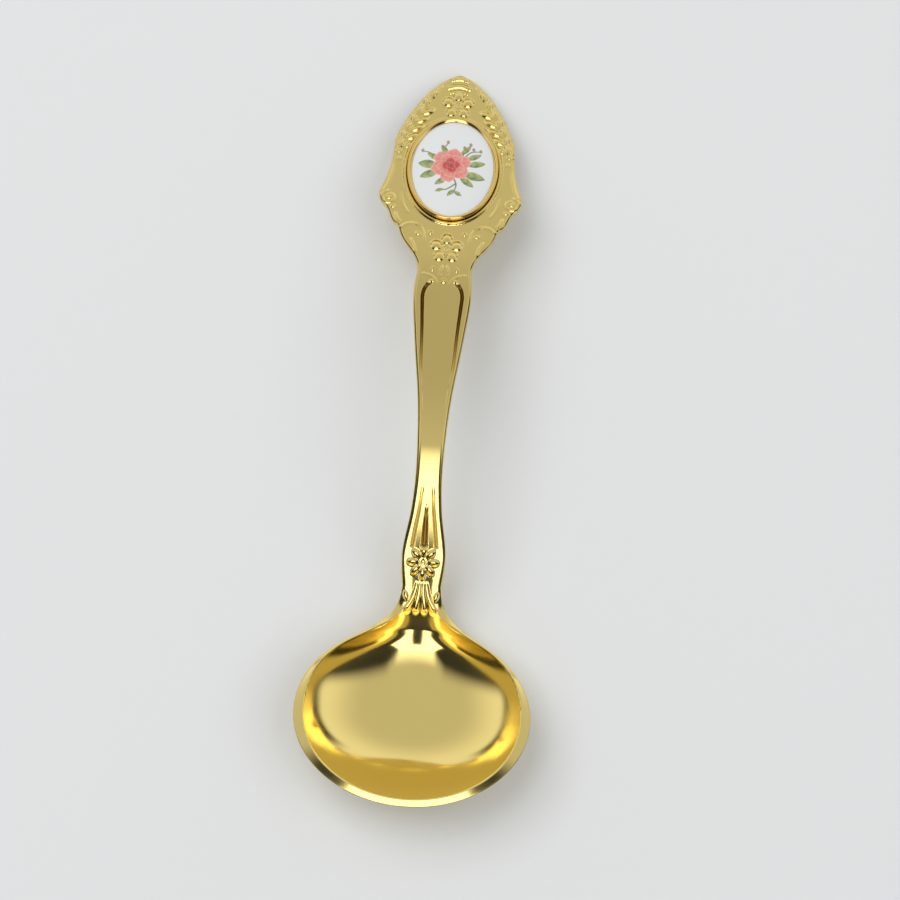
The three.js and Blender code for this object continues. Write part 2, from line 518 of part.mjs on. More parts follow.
function spoonBodyGeometry() {
  const upperColumns = [-1, -0.9, -0.78, -0.7, -0.62, -0.42, -0.2, 0, 0.2, 0.42, 0.62, 0.7, 0.78, 0.9, 1];
  const lowerColumns = [-1, -0.6, 0, 0.6, 1];
  const landRings = [0, 0.25, 0.5, 0.75, 1].map((share) => mix(LAND_RADIUS, 1, share));
  const upperRings = [0.26, 0.45, 0.6, 0.72, 0.81, 0.88, ...landRings];
  const lowerRings = [0.99 * FOOT_RADIUS, 0.42, 0.58, 0.72, 0.84, ...landRings];
  const blank = solid(mergeGeometries([
    bowlFace(topAt, upperRings, upperColumns, true), handleFace(topAt, upperColumns, false),
    bowlFace(underAt, lowerRings, lowerColumns, false), handleFace(underAt, lowerColumns, true),
    sideWall(),
  ]));
  const border = ovalPiece(ridge(BORDER, SEAT_MARGIN, -SEAT_DEPTH / 2, RELIEF)).applyMatrix4(setting);
  const pocket = ovalPiece([[AXIS, -SEAT_DEPTH], [SEAT_MARGIN, -SEAT_DEPTH], [SEAT_MARGIN, 3 * BEZEL_RISE],
    [AXIS, 3 * BEZEL_RISE]]).applyMatrix4(setting);
  const reliefs = [border, ...headOrnament(), ...neckOrnament()];
  const struck = reliefs.reduce((body, relief) => body.add(solid(relief)), blank);
  return geometryFrom(struck.subtract(solid(pocket)));
}

function piece(name, geometry, material) {
  const mesh = new THREE.Mesh(geometry, material);
  mesh.name = name;
  return mesh;
}

const plaqueSetting = new THREE.Group();
plaqueSetting.add(
  piece('bezel_ring', bezelGeometry(), BEZEL_GOLD),
  piece('adhesive_bed', adhesiveGeometry(), GLUE),
  piece('porcelain_plaque', plaqueGeometry(), PORCELAIN),
);
plaqueSetting.applyMatrix4(setting);

const spoon = new THREE.Group();
spoon.add(piece('spoon_body', spoonBodyGeometry(), GOLD), plaqueSetting);

export default spoon;
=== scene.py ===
"""Sugar spoon: the looks of a gilded spoon with a porcelain plaque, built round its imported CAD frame.

The blank is one fine surface whose plan and heights follow the CAD source's formulas, with the struck
ornament added as a height over the plan. The bezel ring and the plaque are swept and domed surfaces of
their own. Sizes are in millimetres along the plan (x across, t from the tip of the bowl); meshes are in
metres.
"""

import logging
import math
from dataclasses import dataclass, field, replace
from enum import Enum
from typing import Sequence

import bmesh
import bpy
import numpy as np
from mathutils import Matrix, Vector


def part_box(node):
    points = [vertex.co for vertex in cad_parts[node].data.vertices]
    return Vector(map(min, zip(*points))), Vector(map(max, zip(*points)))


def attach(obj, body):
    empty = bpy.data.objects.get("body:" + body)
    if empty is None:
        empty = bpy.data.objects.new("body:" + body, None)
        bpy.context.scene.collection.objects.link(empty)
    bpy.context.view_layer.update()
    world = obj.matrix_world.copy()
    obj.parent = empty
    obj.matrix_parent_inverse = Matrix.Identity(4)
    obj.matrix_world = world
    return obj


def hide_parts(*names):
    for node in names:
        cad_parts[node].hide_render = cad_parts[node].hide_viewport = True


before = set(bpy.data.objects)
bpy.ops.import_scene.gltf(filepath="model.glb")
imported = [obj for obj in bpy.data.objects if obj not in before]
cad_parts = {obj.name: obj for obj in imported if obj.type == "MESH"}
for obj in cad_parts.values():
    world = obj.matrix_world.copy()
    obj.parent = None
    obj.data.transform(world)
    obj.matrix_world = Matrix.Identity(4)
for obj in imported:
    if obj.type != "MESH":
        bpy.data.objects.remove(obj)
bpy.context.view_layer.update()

LOG = logging.getLogger("sugar_spoon")
Array = np.ndarray
Value = float | np.ndarray
Point = tuple[float, float]
Triple = tuple[float, float, float]
Colour = Triple
Socket = bpy.types.NodeSocket

MM = 0.001
TINY = 1e-6
# Vertices nearer than this, in metres, are one.
MERGE = 2e-7
# Most height of a drop or ridge for each unit of its radius, and the power that rounds a ridge's section.
STEEPEST = 0.8
ROUNDNESS = 0.8
# Mesh attributes: painted shade on the gold, darkest in the grooves and faint over the stem and head, and
# the colours of the print.
PAINTED_SHADE = "painted_shade_map"
PRINT = "print"


class Strike(Enum):
    """Which way a line of the ornament was struck into the face."""

    RAISED = 1
    SUNK = -1


def mix(low: Value, high: Value, share: Value) -> Value:
    """Value at a share of the way from low to high.

    Args:
        low: value at share 0.
        high: value at share 1.
        share: number or array.

    Returns:
        The mixed value.
    """
    return low + (high - low) * share


def smooth(value: Value, start: float, end: float) -> Array:
    """Ease from 0 at start to 1 at end, level at both (start may be the larger).

    Args:
        value: where to take the step.
        start: value at which it is 0.
        end: value at which it is 1.

    Returns:
        The step, of value's shape.
    """
    s = np.clip((np.asarray(value, float) - start) / (end - start), 0.0, 1.0)
    return s * s * (3.0 - 2.0 * s)


def eased(t: Value, stations: Sequence[Point]) -> Array:
    """A value that eases from station to station along the length.

    Args:
        t: places along the length.
        stations: (place, value) in order.

    Returns:
        The value at each place.
    """
    result = np.full(np.shape(t), stations[0][1], float)
    for (start, low), (end, high) in zip(stations, stations[1:]):
        result = result + (high - low) * smooth(t, start, end)
    return result


def toward(start: Point, end: Point, across: float, along: float) -> Point:
    """Point on the way from start to end, by one share across and another along.

    Args:
        start: where both shares are 0.
        end: where both shares are 1.
        across: share of the way in x.
        along: share of the way in t.

    Returns:
        The point.
    """
    return mix(start[0], end[0], across), mix(start[1], end[1], along)


def around(x: float, t: float, reach: float, turn: float) -> Point:
    """Point at a distance and direction from a middle.

    Args:
        x: middle across.
        t: middle along.
        reach: distance.
        turn: direction in radians, from +x towards +t.

    Returns:
        The point.
    """
    return x + reach * math.cos(turn), t + reach * math.sin(turn)


def bezier(a: Sequence[float], b: Sequence[float], c: Sequence[float], d: Sequence[float],
           steps: int = 60) -> Array:
    """Cubic curve from a to d, pulled towards b and c.

    Args:
        a: start.
        b: first pull.
        c: second pull.
        d: end.
        steps: number of pieces.

    Returns:
        Points as rows of (x, t).
    """
    s = np.linspace(0.0, 1.0, steps + 1)[:, None]
    a, b, c, d = (np.array(p, float) for p in (a, b, c, d))
    return (1 - s) ** 3 * a + 3 * (1 - s) ** 2 * s * b + 3 * (1 - s) * s**2 * c + s**3 * d


def spline(points: Sequence[Point], steps: int = 8) -> Array:
    """Smooth curve through points: each span is a cubic whose end slopes are half its neighbours' chord.

    Args:
        points: places to pass through.
        steps: pieces between neighbours.

    Returns:
        Points as rows of (x, t).
    """
    p = np.array(points, float)
    before = np.vstack([p[:1], p[:-2]])
    after = np.vstack([p[2:], p[-1:]])
    s = np.linspace(0.0, 1.0, steps, endpoint=False)[None, :, None]
    a, b = p[:-1, None], p[1:, None]
    v0, v1 = (p[1:] - before)[:, None] / 2, (after - p[:-1])[:, None] / 2
    body = (2 * a - 2 * b + v0 + v1) * s**3 + (3 * b - 3 * a - 2 * v0 - v1) * s**2 + v0 * s + a
    return np.vstack([body.reshape(-1, 2), p[-1:]])


def grid_faces(rows: int, columns: int, start: int = 0) -> Array:
    """Quads of a grid of points numbered row by row.

    Args:
        rows: number of rows.
        columns: number of columns.
        start: number of the first point.

    Returns:
        Four vertex numbers for each quad.
    """
    first = start + (np.arange(rows - 1)[:, None] * columns + np.arange(columns - 1)).ravel()
    return np.stack([first, first + 1, first + columns + 1, first + columns], axis=1)


def mesh_piece(name: str, grids: Sequence[Array], material: bpy.types.Material) -> bpy.types.Object:
    """One closed object from grids of points that share their border points.

    Args:
        name: object name.
        grids: arrays of shape (rows, columns, 3), in metres.
        material: its material.

    Returns:
        The object, smooth shaded, its faces outwards.
    """
    points, faces, count = [], [], 0
    for grid in grids:
        points.append(grid.reshape(-1, 3))
        faces.append(grid_faces(grid.shape[0], grid.shape[1], count))
        count += len(points[-1])
    mesh = bpy.data.meshes.new(name)
    mesh.from_pydata(np.vstack(points).tolist(), [], np.vstack(faces).tolist())
    body = bmesh.new()
    body.from_mesh(mesh)
    bmesh.ops.remove_doubles(body, verts=body.verts, dist=MERGE)
    bmesh.ops.dissolve_degenerate(body, edges=body.edges, dist=MERGE / 20)
    bmesh.ops.recalc_face_normals(body, faces=body.faces)
    body.to_mesh(mesh)
    body.free()
    mesh.shade_smooth()
    mesh.materials.append(material)
    piece = bpy.data.objects.new(name, mesh)
    bpy.context.collection.objects.link(piece)
    LOG.info("%s: %d faces", name, len(mesh.polygons))
    return piece


def vertices(piece: bpy.types.Object) -> Array:
    """Places of a piece's vertices.

    Args:
        piece: the Blender piece.

    Returns:
        Rows of (x, y, z) in millimetres.
    """
    spots = np.empty(len(piece.data.vertices) * 3, np.float32)
    piece.data.vertices.foreach_get("co", spots)
    return spots.reshape(-1, 3).astype(float) / MM


def install(piece: bpy.types.Object, node: str) -> None:
    """Lets a finished piece stand for its CAD node.

    Args:
        piece: the Blender piece.
        node: CAD node that it replaces.
    """
    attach(piece, "root")
    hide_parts(node)


class Nodes:
    """Short way to build a material's or the world's nodes."""

    def __init__(self, owner: bpy.types.Material | bpy.types.World) -> None:
        """Starts an empty tree.

        Args:
            owner: material or world that gets the nodes.
        """
        owner.use_nodes = True
        self.tree = owner.node_tree
        self.tree.nodes.clear()

    def add(self, kind: str, **values: object) -> bpy.types.Node:
        """Adds a node.

        Args:
            kind: node type without the ShaderNode prefix.
            values: properties, or constants for inputs given by name with underscores for spaces.

        Returns:
            The node.
        """
        node = self.tree.nodes.new("ShaderNode" + kind)
        for key, value in values.items():
            if hasattr(node, key):
                setattr(node, key, value)
            else:
                node.inputs[key.replace("_", " ")].default_value = value
        return node

    def link(self, source: Socket, target: Socket) -> None:
        """Joins an output to an input."""
        self.tree.links.new(source, target)

    def math(self, operation: str, a: Socket | float, b: Socket | float = 0.0) -> Socket:
        """One sum on sockets or numbers.

        Args:
            operation: name of the operation.
            a: first socket or number.
            b: second socket or number.

        Returns:
            The result's socket.
        """
        node = self.add("Math", operation=operation)
        for place, value in enumerate((a, b)):
            if isinstance(value, Socket):
                self.link(value, node.inputs[place])
            else:
                node.inputs[place].default_value = value
        return node.outputs[0]

    def times(self, a: Socket | float, b: Socket | float) -> Socket:
        """Product of two sockets or numbers."""
        return self.math("MULTIPLY", a, b)

    def most(self, a: Socket | float, b: Socket | float) -> Socket:
        """Larger of two sockets or numbers."""
        return self.math("MAXIMUM", a, b)

    def step(self, value: Socket, start: float, end: float, low: float, high: float) -> Socket:
        """Smooth step of a socket between two values.

        Args:
            value: socket to step on.
            start: value at which the result is low.
            end: value at which the result is high.
            low: result at start.
            high: result at end.

        Returns:
            The result's socket.
        """
        node = self.add("MapRange", interpolation_type="SMOOTHSTEP")
        self.link(value, node.inputs["Value"])
        for place, number in zip(("From Min", "From Max", "To Min", "To Max"), (start, end, low, high)):
            node.inputs[place].default_value = number
        return node.outputs["Result"]

    def show(self, surface: bpy.types.Node) -> None:
        """Joins a surface to the material's output."""
        self.link(surface.outputs["BSDF"], self.add("OutputMaterial").inputs["Surface"])


@dataclass(frozen=True)
class GoldFinish:
    """Polished gold plating: a mirror with faint clouds and hairline scratches, with painted shade in dull
    brown where a mesh attribute gives it, darkest in the grooves and faint over the stem and head."""

    name: str
    colour: Colour
    roughness: float = 0.09
    haze: float = 0.05
    clouds: float = 160.0
    cloud_edge: Point = (0.35, 0.7)
    scratches: float = 0.0
    scratch_scale: Triple = (9000.0, 700.0, 2000.0)
    scratch_turn: Triple = (0.0, 0.0, 0.5)
    scratch_depth: float = 0.00002
    # Dull brown of the painted shade that the mesh attribute lays over the gold.
    painted_shade_colour: Colour = (0.17, 0.10, 0.025)

    def material(self) -> bpy.types.Material:
        """Builds the material.

        Returns:
            The material.
        """
        material = bpy.data.materials.new(self.name)
        nodes = Nodes(material)
        place = nodes.add("TexCoord")
        surface = nodes.add("BsdfPrincipled", Metallic=1.0)
        # Painted shade: the mesh attribute blends the gold towards dull brown.
        shade_share = nodes.add("Attribute", attribute_name=PAINTED_SHADE)
        blend = nodes.add("MixRGB", Color1=(*self.colour, 1.0), Color2=(*self.painted_shade_colour, 1.0))
        nodes.link(shade_share.outputs["Fac"], blend.inputs["Fac"])
        nodes.link(blend.outputs["Color"], surface.inputs["Base Color"])
        cloud = nodes.add("TexNoise", Scale=self.clouds, Detail=3.0)
        nodes.link(place.outputs["Object"], cloud.inputs["Vector"])
        hazy = self.roughness + self.haze
        rough = nodes.step(cloud.outputs["Fac"], *self.cloud_edge, self.roughness, hazy)
        nodes.link(rough, surface.inputs["Roughness"])
        if self.scratches:
            stretch = nodes.add("Mapping", Scale=self.scratch_scale, Rotation=self.scratch_turn)
            nodes.link(place.outputs["Object"], stretch.inputs["Vector"])
            hair = nodes.add("TexNoise", Scale=1.0, Detail=2.0)
            nodes.link(stretch.outputs["Vector"], hair.inputs["Vector"])
            bump = nodes.add("Bump", Strength=self.scratches, Distance=self.scratch_depth)
            nodes.link(hair.outputs["Fac"], bump.inputs["Height"])
            nodes.link(bump.outputs["Normal"], surface.inputs["Normal"])
        nodes.show(surface)
        return material


@dataclass(frozen=True)
class GlazeFinish:
    """White glaze over a print that is held as a colour attribute on the mesh."""

    roughness: float = 0.12
    coat: float = 0.6
    coat_roughness: float = 0.04

    def material(self) -> bpy.types.Material:
        """Builds the material.

        Returns:
            The material.
        """
        material = bpy.data.materials.new("glazed porcelain")
        nodes = Nodes(material)
        paint = nodes.add("Attribute", attribute_name=PRINT)
        surface = nodes.add("BsdfPrincipled", Roughness=self.roughness, Coat_Weight=self.coat,
                            Coat_Roughness=self.coat_roughness)
        nodes.link(paint.outputs["Color"], surface.inputs["Base Color"])
        nodes.show(surface)
        return material


@dataclass(frozen=True)
class PlainFinish:
    """A plain matt surface."""

    name: str
    colour: Colour
    roughness: float

    def material(self) -> bpy.types.Material:
        """Builds the material.

        Returns:
            The material.
        """
        material = bpy.data.materials.new(self.name)
        nodes = Nodes(material)
        nodes.show(nodes.add("BsdfPrincipled", Roughness=self.roughness, Base_Color=(*self.colour, 1.0)))
        return material


@dataclass
class Blank:
    """Plan and heights of the struck blank, in millimetres, as the CAD source gives them, but for finer
    curves: a flatter crown, a bowl with a steeper front wall and a rounder back, a longer heel, and a land
    that narrows there."""

    length: float
    # Bowl: its oval, depth and least wall.
    bowl_width: float = 34.98
    bowl_length: float = 27.2
    bowl_depth: float = 8.2
    bowl_wall: float = 0.8
    # Powers of its inside curve, and where they change as shares of half its length.
    front_fullness: float = 3.2
    back_fullness: float = 2.3
    fullness_eases: Point = (0.5, 1.3)
    # How far its deepest point is set back, the least scale of the perspective there, and the flat foot.
    floor_back: float = 4.0
    least_scale: float = 0.1
    foot_width: float = 6.0
    # Land of the rim, in front and at the heel, and where it narrows as shares of half the bowl's length.
    rim_land: float = 1.3
    heel_land: float = 0.6
    land_narrows: Point = (1.0, 1.7)
    rim_fall: float = 0.5
    rim_edge: float = 0.3
    tip_lift: float = 3.6
    # Heel, arch and head of the handle's middle plane, with the ramp up to it.
    ramp_rise: float = 2.2
    ramp_from: float = 3.0
    ramp_to: float = 5.2
    heel_slope: float = 0.5
    heel_drop: float = 3.2
    arch_rise: float = 8.72
    head_tilt: float = math.radians(18.0)
    # Fillet of bowl and neck: the oval's angle where it begins, and its pull as a share of its length.
    fillet_turn: float = 0.87
    fillet_pull: float = 0.75
    # Places along the length, from the tip of the bowl, and reaches from the seat of the plaque.
    neck: float = 33.0
    knot: float = 37.7
    waist: float = 50.4
    arch: float = 56.2
    shoulder: float = 75.7
    throat: float = 80.2
    base_reach: float = 8.0
    crest_reach: float = 7.7
    notch_gap: float = 0.5
    ear_drop: float = 4.4
    brow_lift: float = 5.0
    # Widths at those places, and the field beside the seat at ear and brow.
    neck_width: float = 5.9
    knot_width: float = 6.5
    waist_width: float = 4.0
    shoulder_width: float = 8.7
    throat_width: float = 8.2
    lobe_half_width: float = 7.6
    seat_half_width: float = 7.6
    ear_field: float = 3.4
    brow_field: float = 1.7
    # Thickness of the handle's edge, and the rise of its two faces beyond it.
    neck_edge: float = 1.9
    waist_edge: float = 1.5
    throat_edge: float = 1.7
    neck_crown: float = 0.9
    waist_crown: float = 0.6
    shoulder_crown: float = 0.35
    throat_crown: float = 0.15
    crown_fall: float = 0.5
    neck_belly: float = 0.7
    waist_belly: float = 0.35
    # Worked out from the sizes above.
    crest: float = field(init=False)
    middle: float = field(init=False)
    across: float = field(init=False)
    plaque: float = field(init=False)
    notch: float = field(init=False)
    ear: float = field(init=False)
    brow: float = field(init=False)
    land: float = field(init=False)
    foot: float = field(init=False)
    plan: Array = field(init=False)

    def __post_init__(self) -> None:
        """Works out the places and shares that follow from the driving sizes, then the plan."""
        self.crest = self.length
        self.middle = self.bowl_length / 2
        self.across = self.bowl_width / 2
        half_seat = (self.crest - self.crest_reach - self.throat - self.base_reach) / 2
        self.plaque = self.throat + self.base_reach + half_seat
        self.notch = self.plaque - half_seat - self.notch_gap
        self.ear = self.plaque - self.ear_drop
        self.brow = self.plaque + self.brow_lift
        self.land = 1 - self.rim_land / self.across
        self.foot = self.foot_width / self.bowl_width
        self.plan = self.outline()

    def outline(self) -> Array:
        """Right half of the plan: the bowl's oval, the fillet, the stem's spline and the head's curves.

        Returns:
            Points as rows of (x, t), rising in t.
        """
        turn = np.linspace(-math.pi / 2, self.fillet_turn, 400)
        oval = np.stack([self.across * np.cos(turn), self.middle + self.middle * np.sin(turn)], axis=1)
        pull = self.fillet_pull * (self.neck - self.bowl_length)
        end = self.fillet_turn
        slope = np.array([-self.across * math.sin(end), self.middle * math.cos(end)])
        slope *= pull / np.linalg.norm(slope)
        neck = (self.neck_width / 2, self.neck)
        knot = (self.knot_width / 2, self.knot)
        waist = (self.waist_width / 2, self.waist)
        shoulder = (self.shoulder_width / 2, self.shoulder)
        throat = (self.throat_width / 2, self.throat)
        lobe = (self.lobe_half_width, self.notch)
        ear = (self.seat_half_width + self.ear_field, self.ear)
        brow = (self.seat_half_width + self.brow_field, self.brow)
        crest = (0.0, self.crest)
        bay = toward(lobe, ear, 0.7, 0.6)
        fillet = bezier(oval[-1], oval[-1] + slope, (neck[0], self.neck - pull), neck)
        stem = spline([
            neck, knot, toward(knot, waist, 0.78, 0.5), waist, toward(waist, shoulder, 0.2, 0.36),
            toward(waist, shoulder, 0.66, 0.7), shoulder, throat], 24)
        head = [
            bezier(throat, toward(throat, lobe, 0.0, 0.45), toward(throat, lobe, 0.75, 0.5), lobe),
            bezier(lobe, toward(lobe, ear, 0.5, 0.15), toward(lobe, ear, 0.4, 0.5), bay),
            bezier(bay, toward(lobe, ear, 0.98, 0.75), toward(lobe, ear, 1.0147, 0.97), ear),
            bezier(ear, toward(ear, brow, 0.55, 0.25), toward(ear, brow, 1.0, 0.5), brow),
            bezier(brow, toward(brow, crest, 0.15, 0.42), toward(brow, crest, 0.64, 0.99), crest),
        ]
        return np.vstack([oval, fillet[1:], stem[1:], *[curve[1:] for curve in head]])

    def half_width(self, t: Value) -> Array:
        """Half the plan's width."""
        return np.interp(t, self.plan[:, 1], self.plan[:, 0], right=0.0)

    def rim(self, t: Value) -> Value:
        """Height of the rim's plane, which lifts towards the tip."""
        return self.bowl_wall + self.bowl_depth + self.tip_lift * (self.middle - t) / self.bowl_length

    def edge(self, t: Value) -> Array:
        """Thickness of the handle's edge."""
        return eased(t, [(self.neck, self.neck_edge), (self.waist, self.waist_edge),
                         (self.shoulder, self.waist_edge), (self.throat, self.throat_edge)])

    def spine(self, t: Value) -> Array:
        """Middle plane of the handle: a cubic from the heel to the arch, one to the throat, a straight head.

        Args:
            t: places along the length.

        Returns:
            Heights.
        """
        rim = self.rim(self.bowl_length)
        heel = rim - self.heel_drop - self.neck_crown - self.neck_edge / 2
        top = rim + self.arch_rise - self.waist_crown - self.waist_edge / 2
        fall = math.tan(self.head_tilt)
        low = self.throat_edge / 2 + fall * (self.crest - self.throat)
        near, far = self.arch - self.bowl_length, self.throat - self.arch
        s = np.clip((t - self.bowl_length) / near, 0, 1)
        first = (1 - s) ** 3 * heel + 3 * (1 - s) ** 2 * s * (heel + self.heel_slope * near / 3)
        first = first + (3 * (1 - s) * s**2 + s**3) * top
        s = np.clip((t - self.arch) / far, 0, 1)
        second = ((1 - s) ** 3 + 3 * (1 - s) ** 2 * s) * top + s**3 * low
        second = second + 3 * (1 - s) * s**2 * (low + fall * far / 3)
        straight = low - fall * (t - self.throat)
        return np.where(t >= self.throat, straight, np.where(t >= self.arch, second, first))

    def share(self, x: Value, t: Value) -> Array:
        """Distance from the middle line as a share of the half width."""
        return np.clip(np.abs(x) / np.maximum(self.half_width(t), TINY), 0, 1)

    def radius(self, x: Value, t: Value) -> Array:
        """Distance from the bowl's middle as a share of its oval."""
        return np.minimum(1, np.hypot(x / self.across, (t - self.middle) / self.middle))

    def inner(self, t: Value) -> Array:
        """Inner edge of the rim's land as a share of the oval: the land narrows towards the heel."""
        land = mix(self.rim_land, self.heel_land, smooth(t / self.middle, *self.land_narrows))
        return 1 - land / self.across

    def fullness(self, t: Value) -> Array:
        """Power of the bowl's inside curve: a steep wall in front, nearer a parabola at the back."""
        return mix(self.front_fullness, self.back_fullness, smooth(t / self.middle, *self.fullness_eases))

    def climb(self, x: Value, t: Value, size: Value) -> Array:
        """How far up the bowl's curve a place is: the disc drawn in perspective so that the deepest point,
        which is set back, comes to its middle and its edge stays a circle; the middle of the back climbs
        less, as the ramp.

        Args:
            x: places across.
            t: places along.
            size: the oval as a share of the outline, one or one for each place.

        Returns:
            Shares of the climb.
        """
        back = self.floor_back / (size * self.middle)
        along = (t - self.middle) / (size * self.middle)
        scale = 1 / np.maximum(self.least_scale, 1 - back * along)
        across = x / (size * self.across) * np.sqrt(1 - back**2) * scale
        along = (along - back) * scale
        sides = np.where(along < 0, 1.0, self.share(x, t) ** 3)
        return np.sqrt(across**2 + mix(self.ramp_rise / self.bowl_depth, 1, sides) * along**2)

    def ease(self, t: Value) -> Array:
        """Share of the handle's faces in the mix at the heel."""
        return smooth(t, self.bowl_length - self.ramp_from, self.bowl_length + self.ramp_to)

    def top(self, x: Value, t: Value) -> Array:
        """Upper face without its ornament: a rounded bowl with a ramp at its heel, eased into the crowned
        handle.

        Args:
            x: places across.
            t: places along.

        Returns:
            Heights.
        """
        u = self.share(x, t)
        rim = self.rim(t)
        land = self.inner(t)
        inside = self.bowl_wall + (rim - self.bowl_wall) * self.climb(x, t, land) ** self.fullness(t)
        fall = self.rim_fall * mix(1, u**3, smooth(t, self.middle, self.bowl_length))
        slope = np.maximum(0, self.radius(x, t) - land) / (1 - land)
        inside = np.minimum(rim, inside) - fall * slope
        crown = eased(t, [(self.neck, self.neck_crown), (self.waist, self.waist_crown),
                          (self.shoulder, self.shoulder_crown), (self.throat, self.throat_crown)])
        handle = self.spine(t) + self.edge(t) / 2 + crown * (1 - self.crown_fall * u**5)
        return mix(inside, handle, self.ease(t))

    def under(self, x: Value, t: Value) -> Array:
        """Lower face: flat on the foot, a parabola to the rim, lower under the ramp, eased into the handle's
        belly.

        Args:
            x: places across.
            t: places along.

        Returns:
            Heights.
        """
        u = self.share(x, t)
        climb = np.maximum(0, np.minimum(1, self.climb(x, t, 1.0)) - self.foot) / (1 - self.foot)
        outside = (self.rim(t) - self.rim_fall - self.rim_edge) * climb**2
        belly = eased(t, [(self.neck, self.neck_belly), (self.waist, self.waist_belly),
                          (self.shoulder, 0.0)])
        return mix(outside, self.spine(t) - self.edge(t) / 2 - belly * (1 - u * u), self.ease(t))

    def row(self, x: Value, t: Value, z: Value) -> Array:
        """Plan places and heights as points of the row frame, in metres."""
        x, t, z = np.broadcast_arrays(x, t, z)
        return np.stack([x, t - self.crest / 2, z], axis=-1) * MM


@dataclass(frozen=True)
class Boss:
    """A raised drop of the ornament: an oval paraboloid over the plan, turned by degrees."""

    x: float
    t: float
    half_width: float
    half_length: float
    turn: float
    height: float

    def relief(self, x: Array, t: Array) -> Array:
        """Height of the drop over the plan, at most a share of its smaller radius.

        Args:
            x: places across.
            t: places along.

        Returns:
            Heights, 0 outside the oval.
        """
        c, s = math.cos(math.radians(self.turn)), math.sin(math.radians(self.turn))
        a = (x - self.x) * c + (t - self.t) * s
        b = (t - self.t) * c - (x - self.x) * s
        rest = 1 - (a / self.half_width) ** 2 - (b / self.half_length) ** 2
        return min(self.height, STEEPEST * min(self.half_width, self.half_length)) * np.clip(rest, 0, 1)

    def mirrored(self) -> "Boss":
        """The same drop on the other side of the middle line."""
        return replace(self, x=-self.x, turn=-self.turn)

    def shifted(self, along: float) -> "Boss":
        """The same drop further along."""
        return replace(self, t=self.t + along)


@dataclass(frozen=True)
class Line:
    """A raised or sunk line of the ornament: a rounded section along a spline, its radius changing from end
    to end and its height fading over a share of the line at either end."""

    points: tuple[Point, ...]
    start: float
    end: float
    height: float
    fade: Point = (0.0, 0.0)
    strike: Strike = Strike.RAISED

    def relief(self, x: Array, t: Array) -> Array:
        """Height of the line over the plan: distance to the nearest span against the radius there.

        Args:
            x: places across.
            t: places along.

        Returns:
            Heights, 0 beyond the radius.
        """
        path = spline(self.points)
        reach = max(self.start, self.end)
        result = np.zeros(np.shape(x))
        near = (x > path[:, 0].min() - reach) & (x < path[:, 0].max() + reach)
        near &= (t > path[:, 1].min() - reach) & (t < path[:, 1].max() + reach)
        spot = np.stack([x[near], t[near]], axis=-1)[:, None]
        first, run = path[:-1][None], np.diff(path, axis=0)[None]
        along = np.clip(((spot - first) * run).sum(-1) / (run**2).sum(-1), 0, 1)
        gap = np.linalg.norm(spot - first - along[..., None] * run, axis=-1)
        best = gap.argmin(axis=1)
        pick = np.arange(len(best))
        share = (best + along[pick, best]) / run.shape[1]
        size = mix(self.start, self.end, share)
        section = np.clip(1 - (gap[pick, best] / size) ** 2, 0, 1) ** ROUNDNESS
        raised = self.strike is Strike.RAISED
        height = np.minimum(self.height, STEEPEST * size) if raised else self.height
        begins = smooth(share, -TINY, self.fade[0] + TINY)
        ends = smooth(share, 1 + TINY, 1 - self.fade[1] - TINY)
        result[near] = self.strike.value * section * height * begins * ends
        return result

    def mirrored(self) -> "Line":
        """The same line on the other side of the middle line."""
        return replace(self, points=tuple((-x, t) for x, t in self.points))

    def shifted(self, along: float) -> "Line":
        """The same line further along."""
        return replace(self, points=tuple((x, t + along) for x, t in self.points))


Mark = Boss | Line


def both(sides: Sequence[Mark]) -> list[Mark]:
    """Ornaments of one side and their mirror images across the middle line.

    Args:
        sides: drops and lines on one side.

    Returns:
        The ornaments of both sides.
    """
    return [one for mark in sides for one in (mark, mark.mirrored())]


@dataclass(frozen=True)
class Flower:
    """Petals round a ringed eye: drops that point outwards, evenly turned. Its places and sizes are shares
    of the radius, and the first petal points along the spoon."""

    x: float
    t: float
    radius: float
    petals: int
    height: float = 0.5
    petal_place: float = 0.62
    petal_spread: float = 0.62
    petal_length: float = 0.4
    ring: float = 0.2
    ring_size: float = 0.09
    eye: float = 0.08

    def marks(self) -> list[Mark]:
        """Petals, ring and eye.

        Returns:
            Drops and a line.
        """
        wide = self.petal_spread * math.sin(math.pi / self.petals) * self.radius
        marks = []
        for turn in (360 * k / self.petals for k in range(self.petals)):
            spot = around(self.x, self.t, self.petal_place * self.radius, math.radians(90 + turn))
            marks.append(Boss(*spot, wide, self.petal_length * self.radius, turn, self.height))
        turns = np.linspace(0, 2 * math.pi, 9)
        ring = tuple(around(self.x, self.t, self.ring * self.radius, turn) for turn in turns)
        thick, eye = self.ring_size * self.radius, self.eye * self.radius
        marks.append(Line(ring, thick, thick, self.height))
        marks.append(Boss(self.x, self.t, eye, eye, 0, self.height))
        return marks


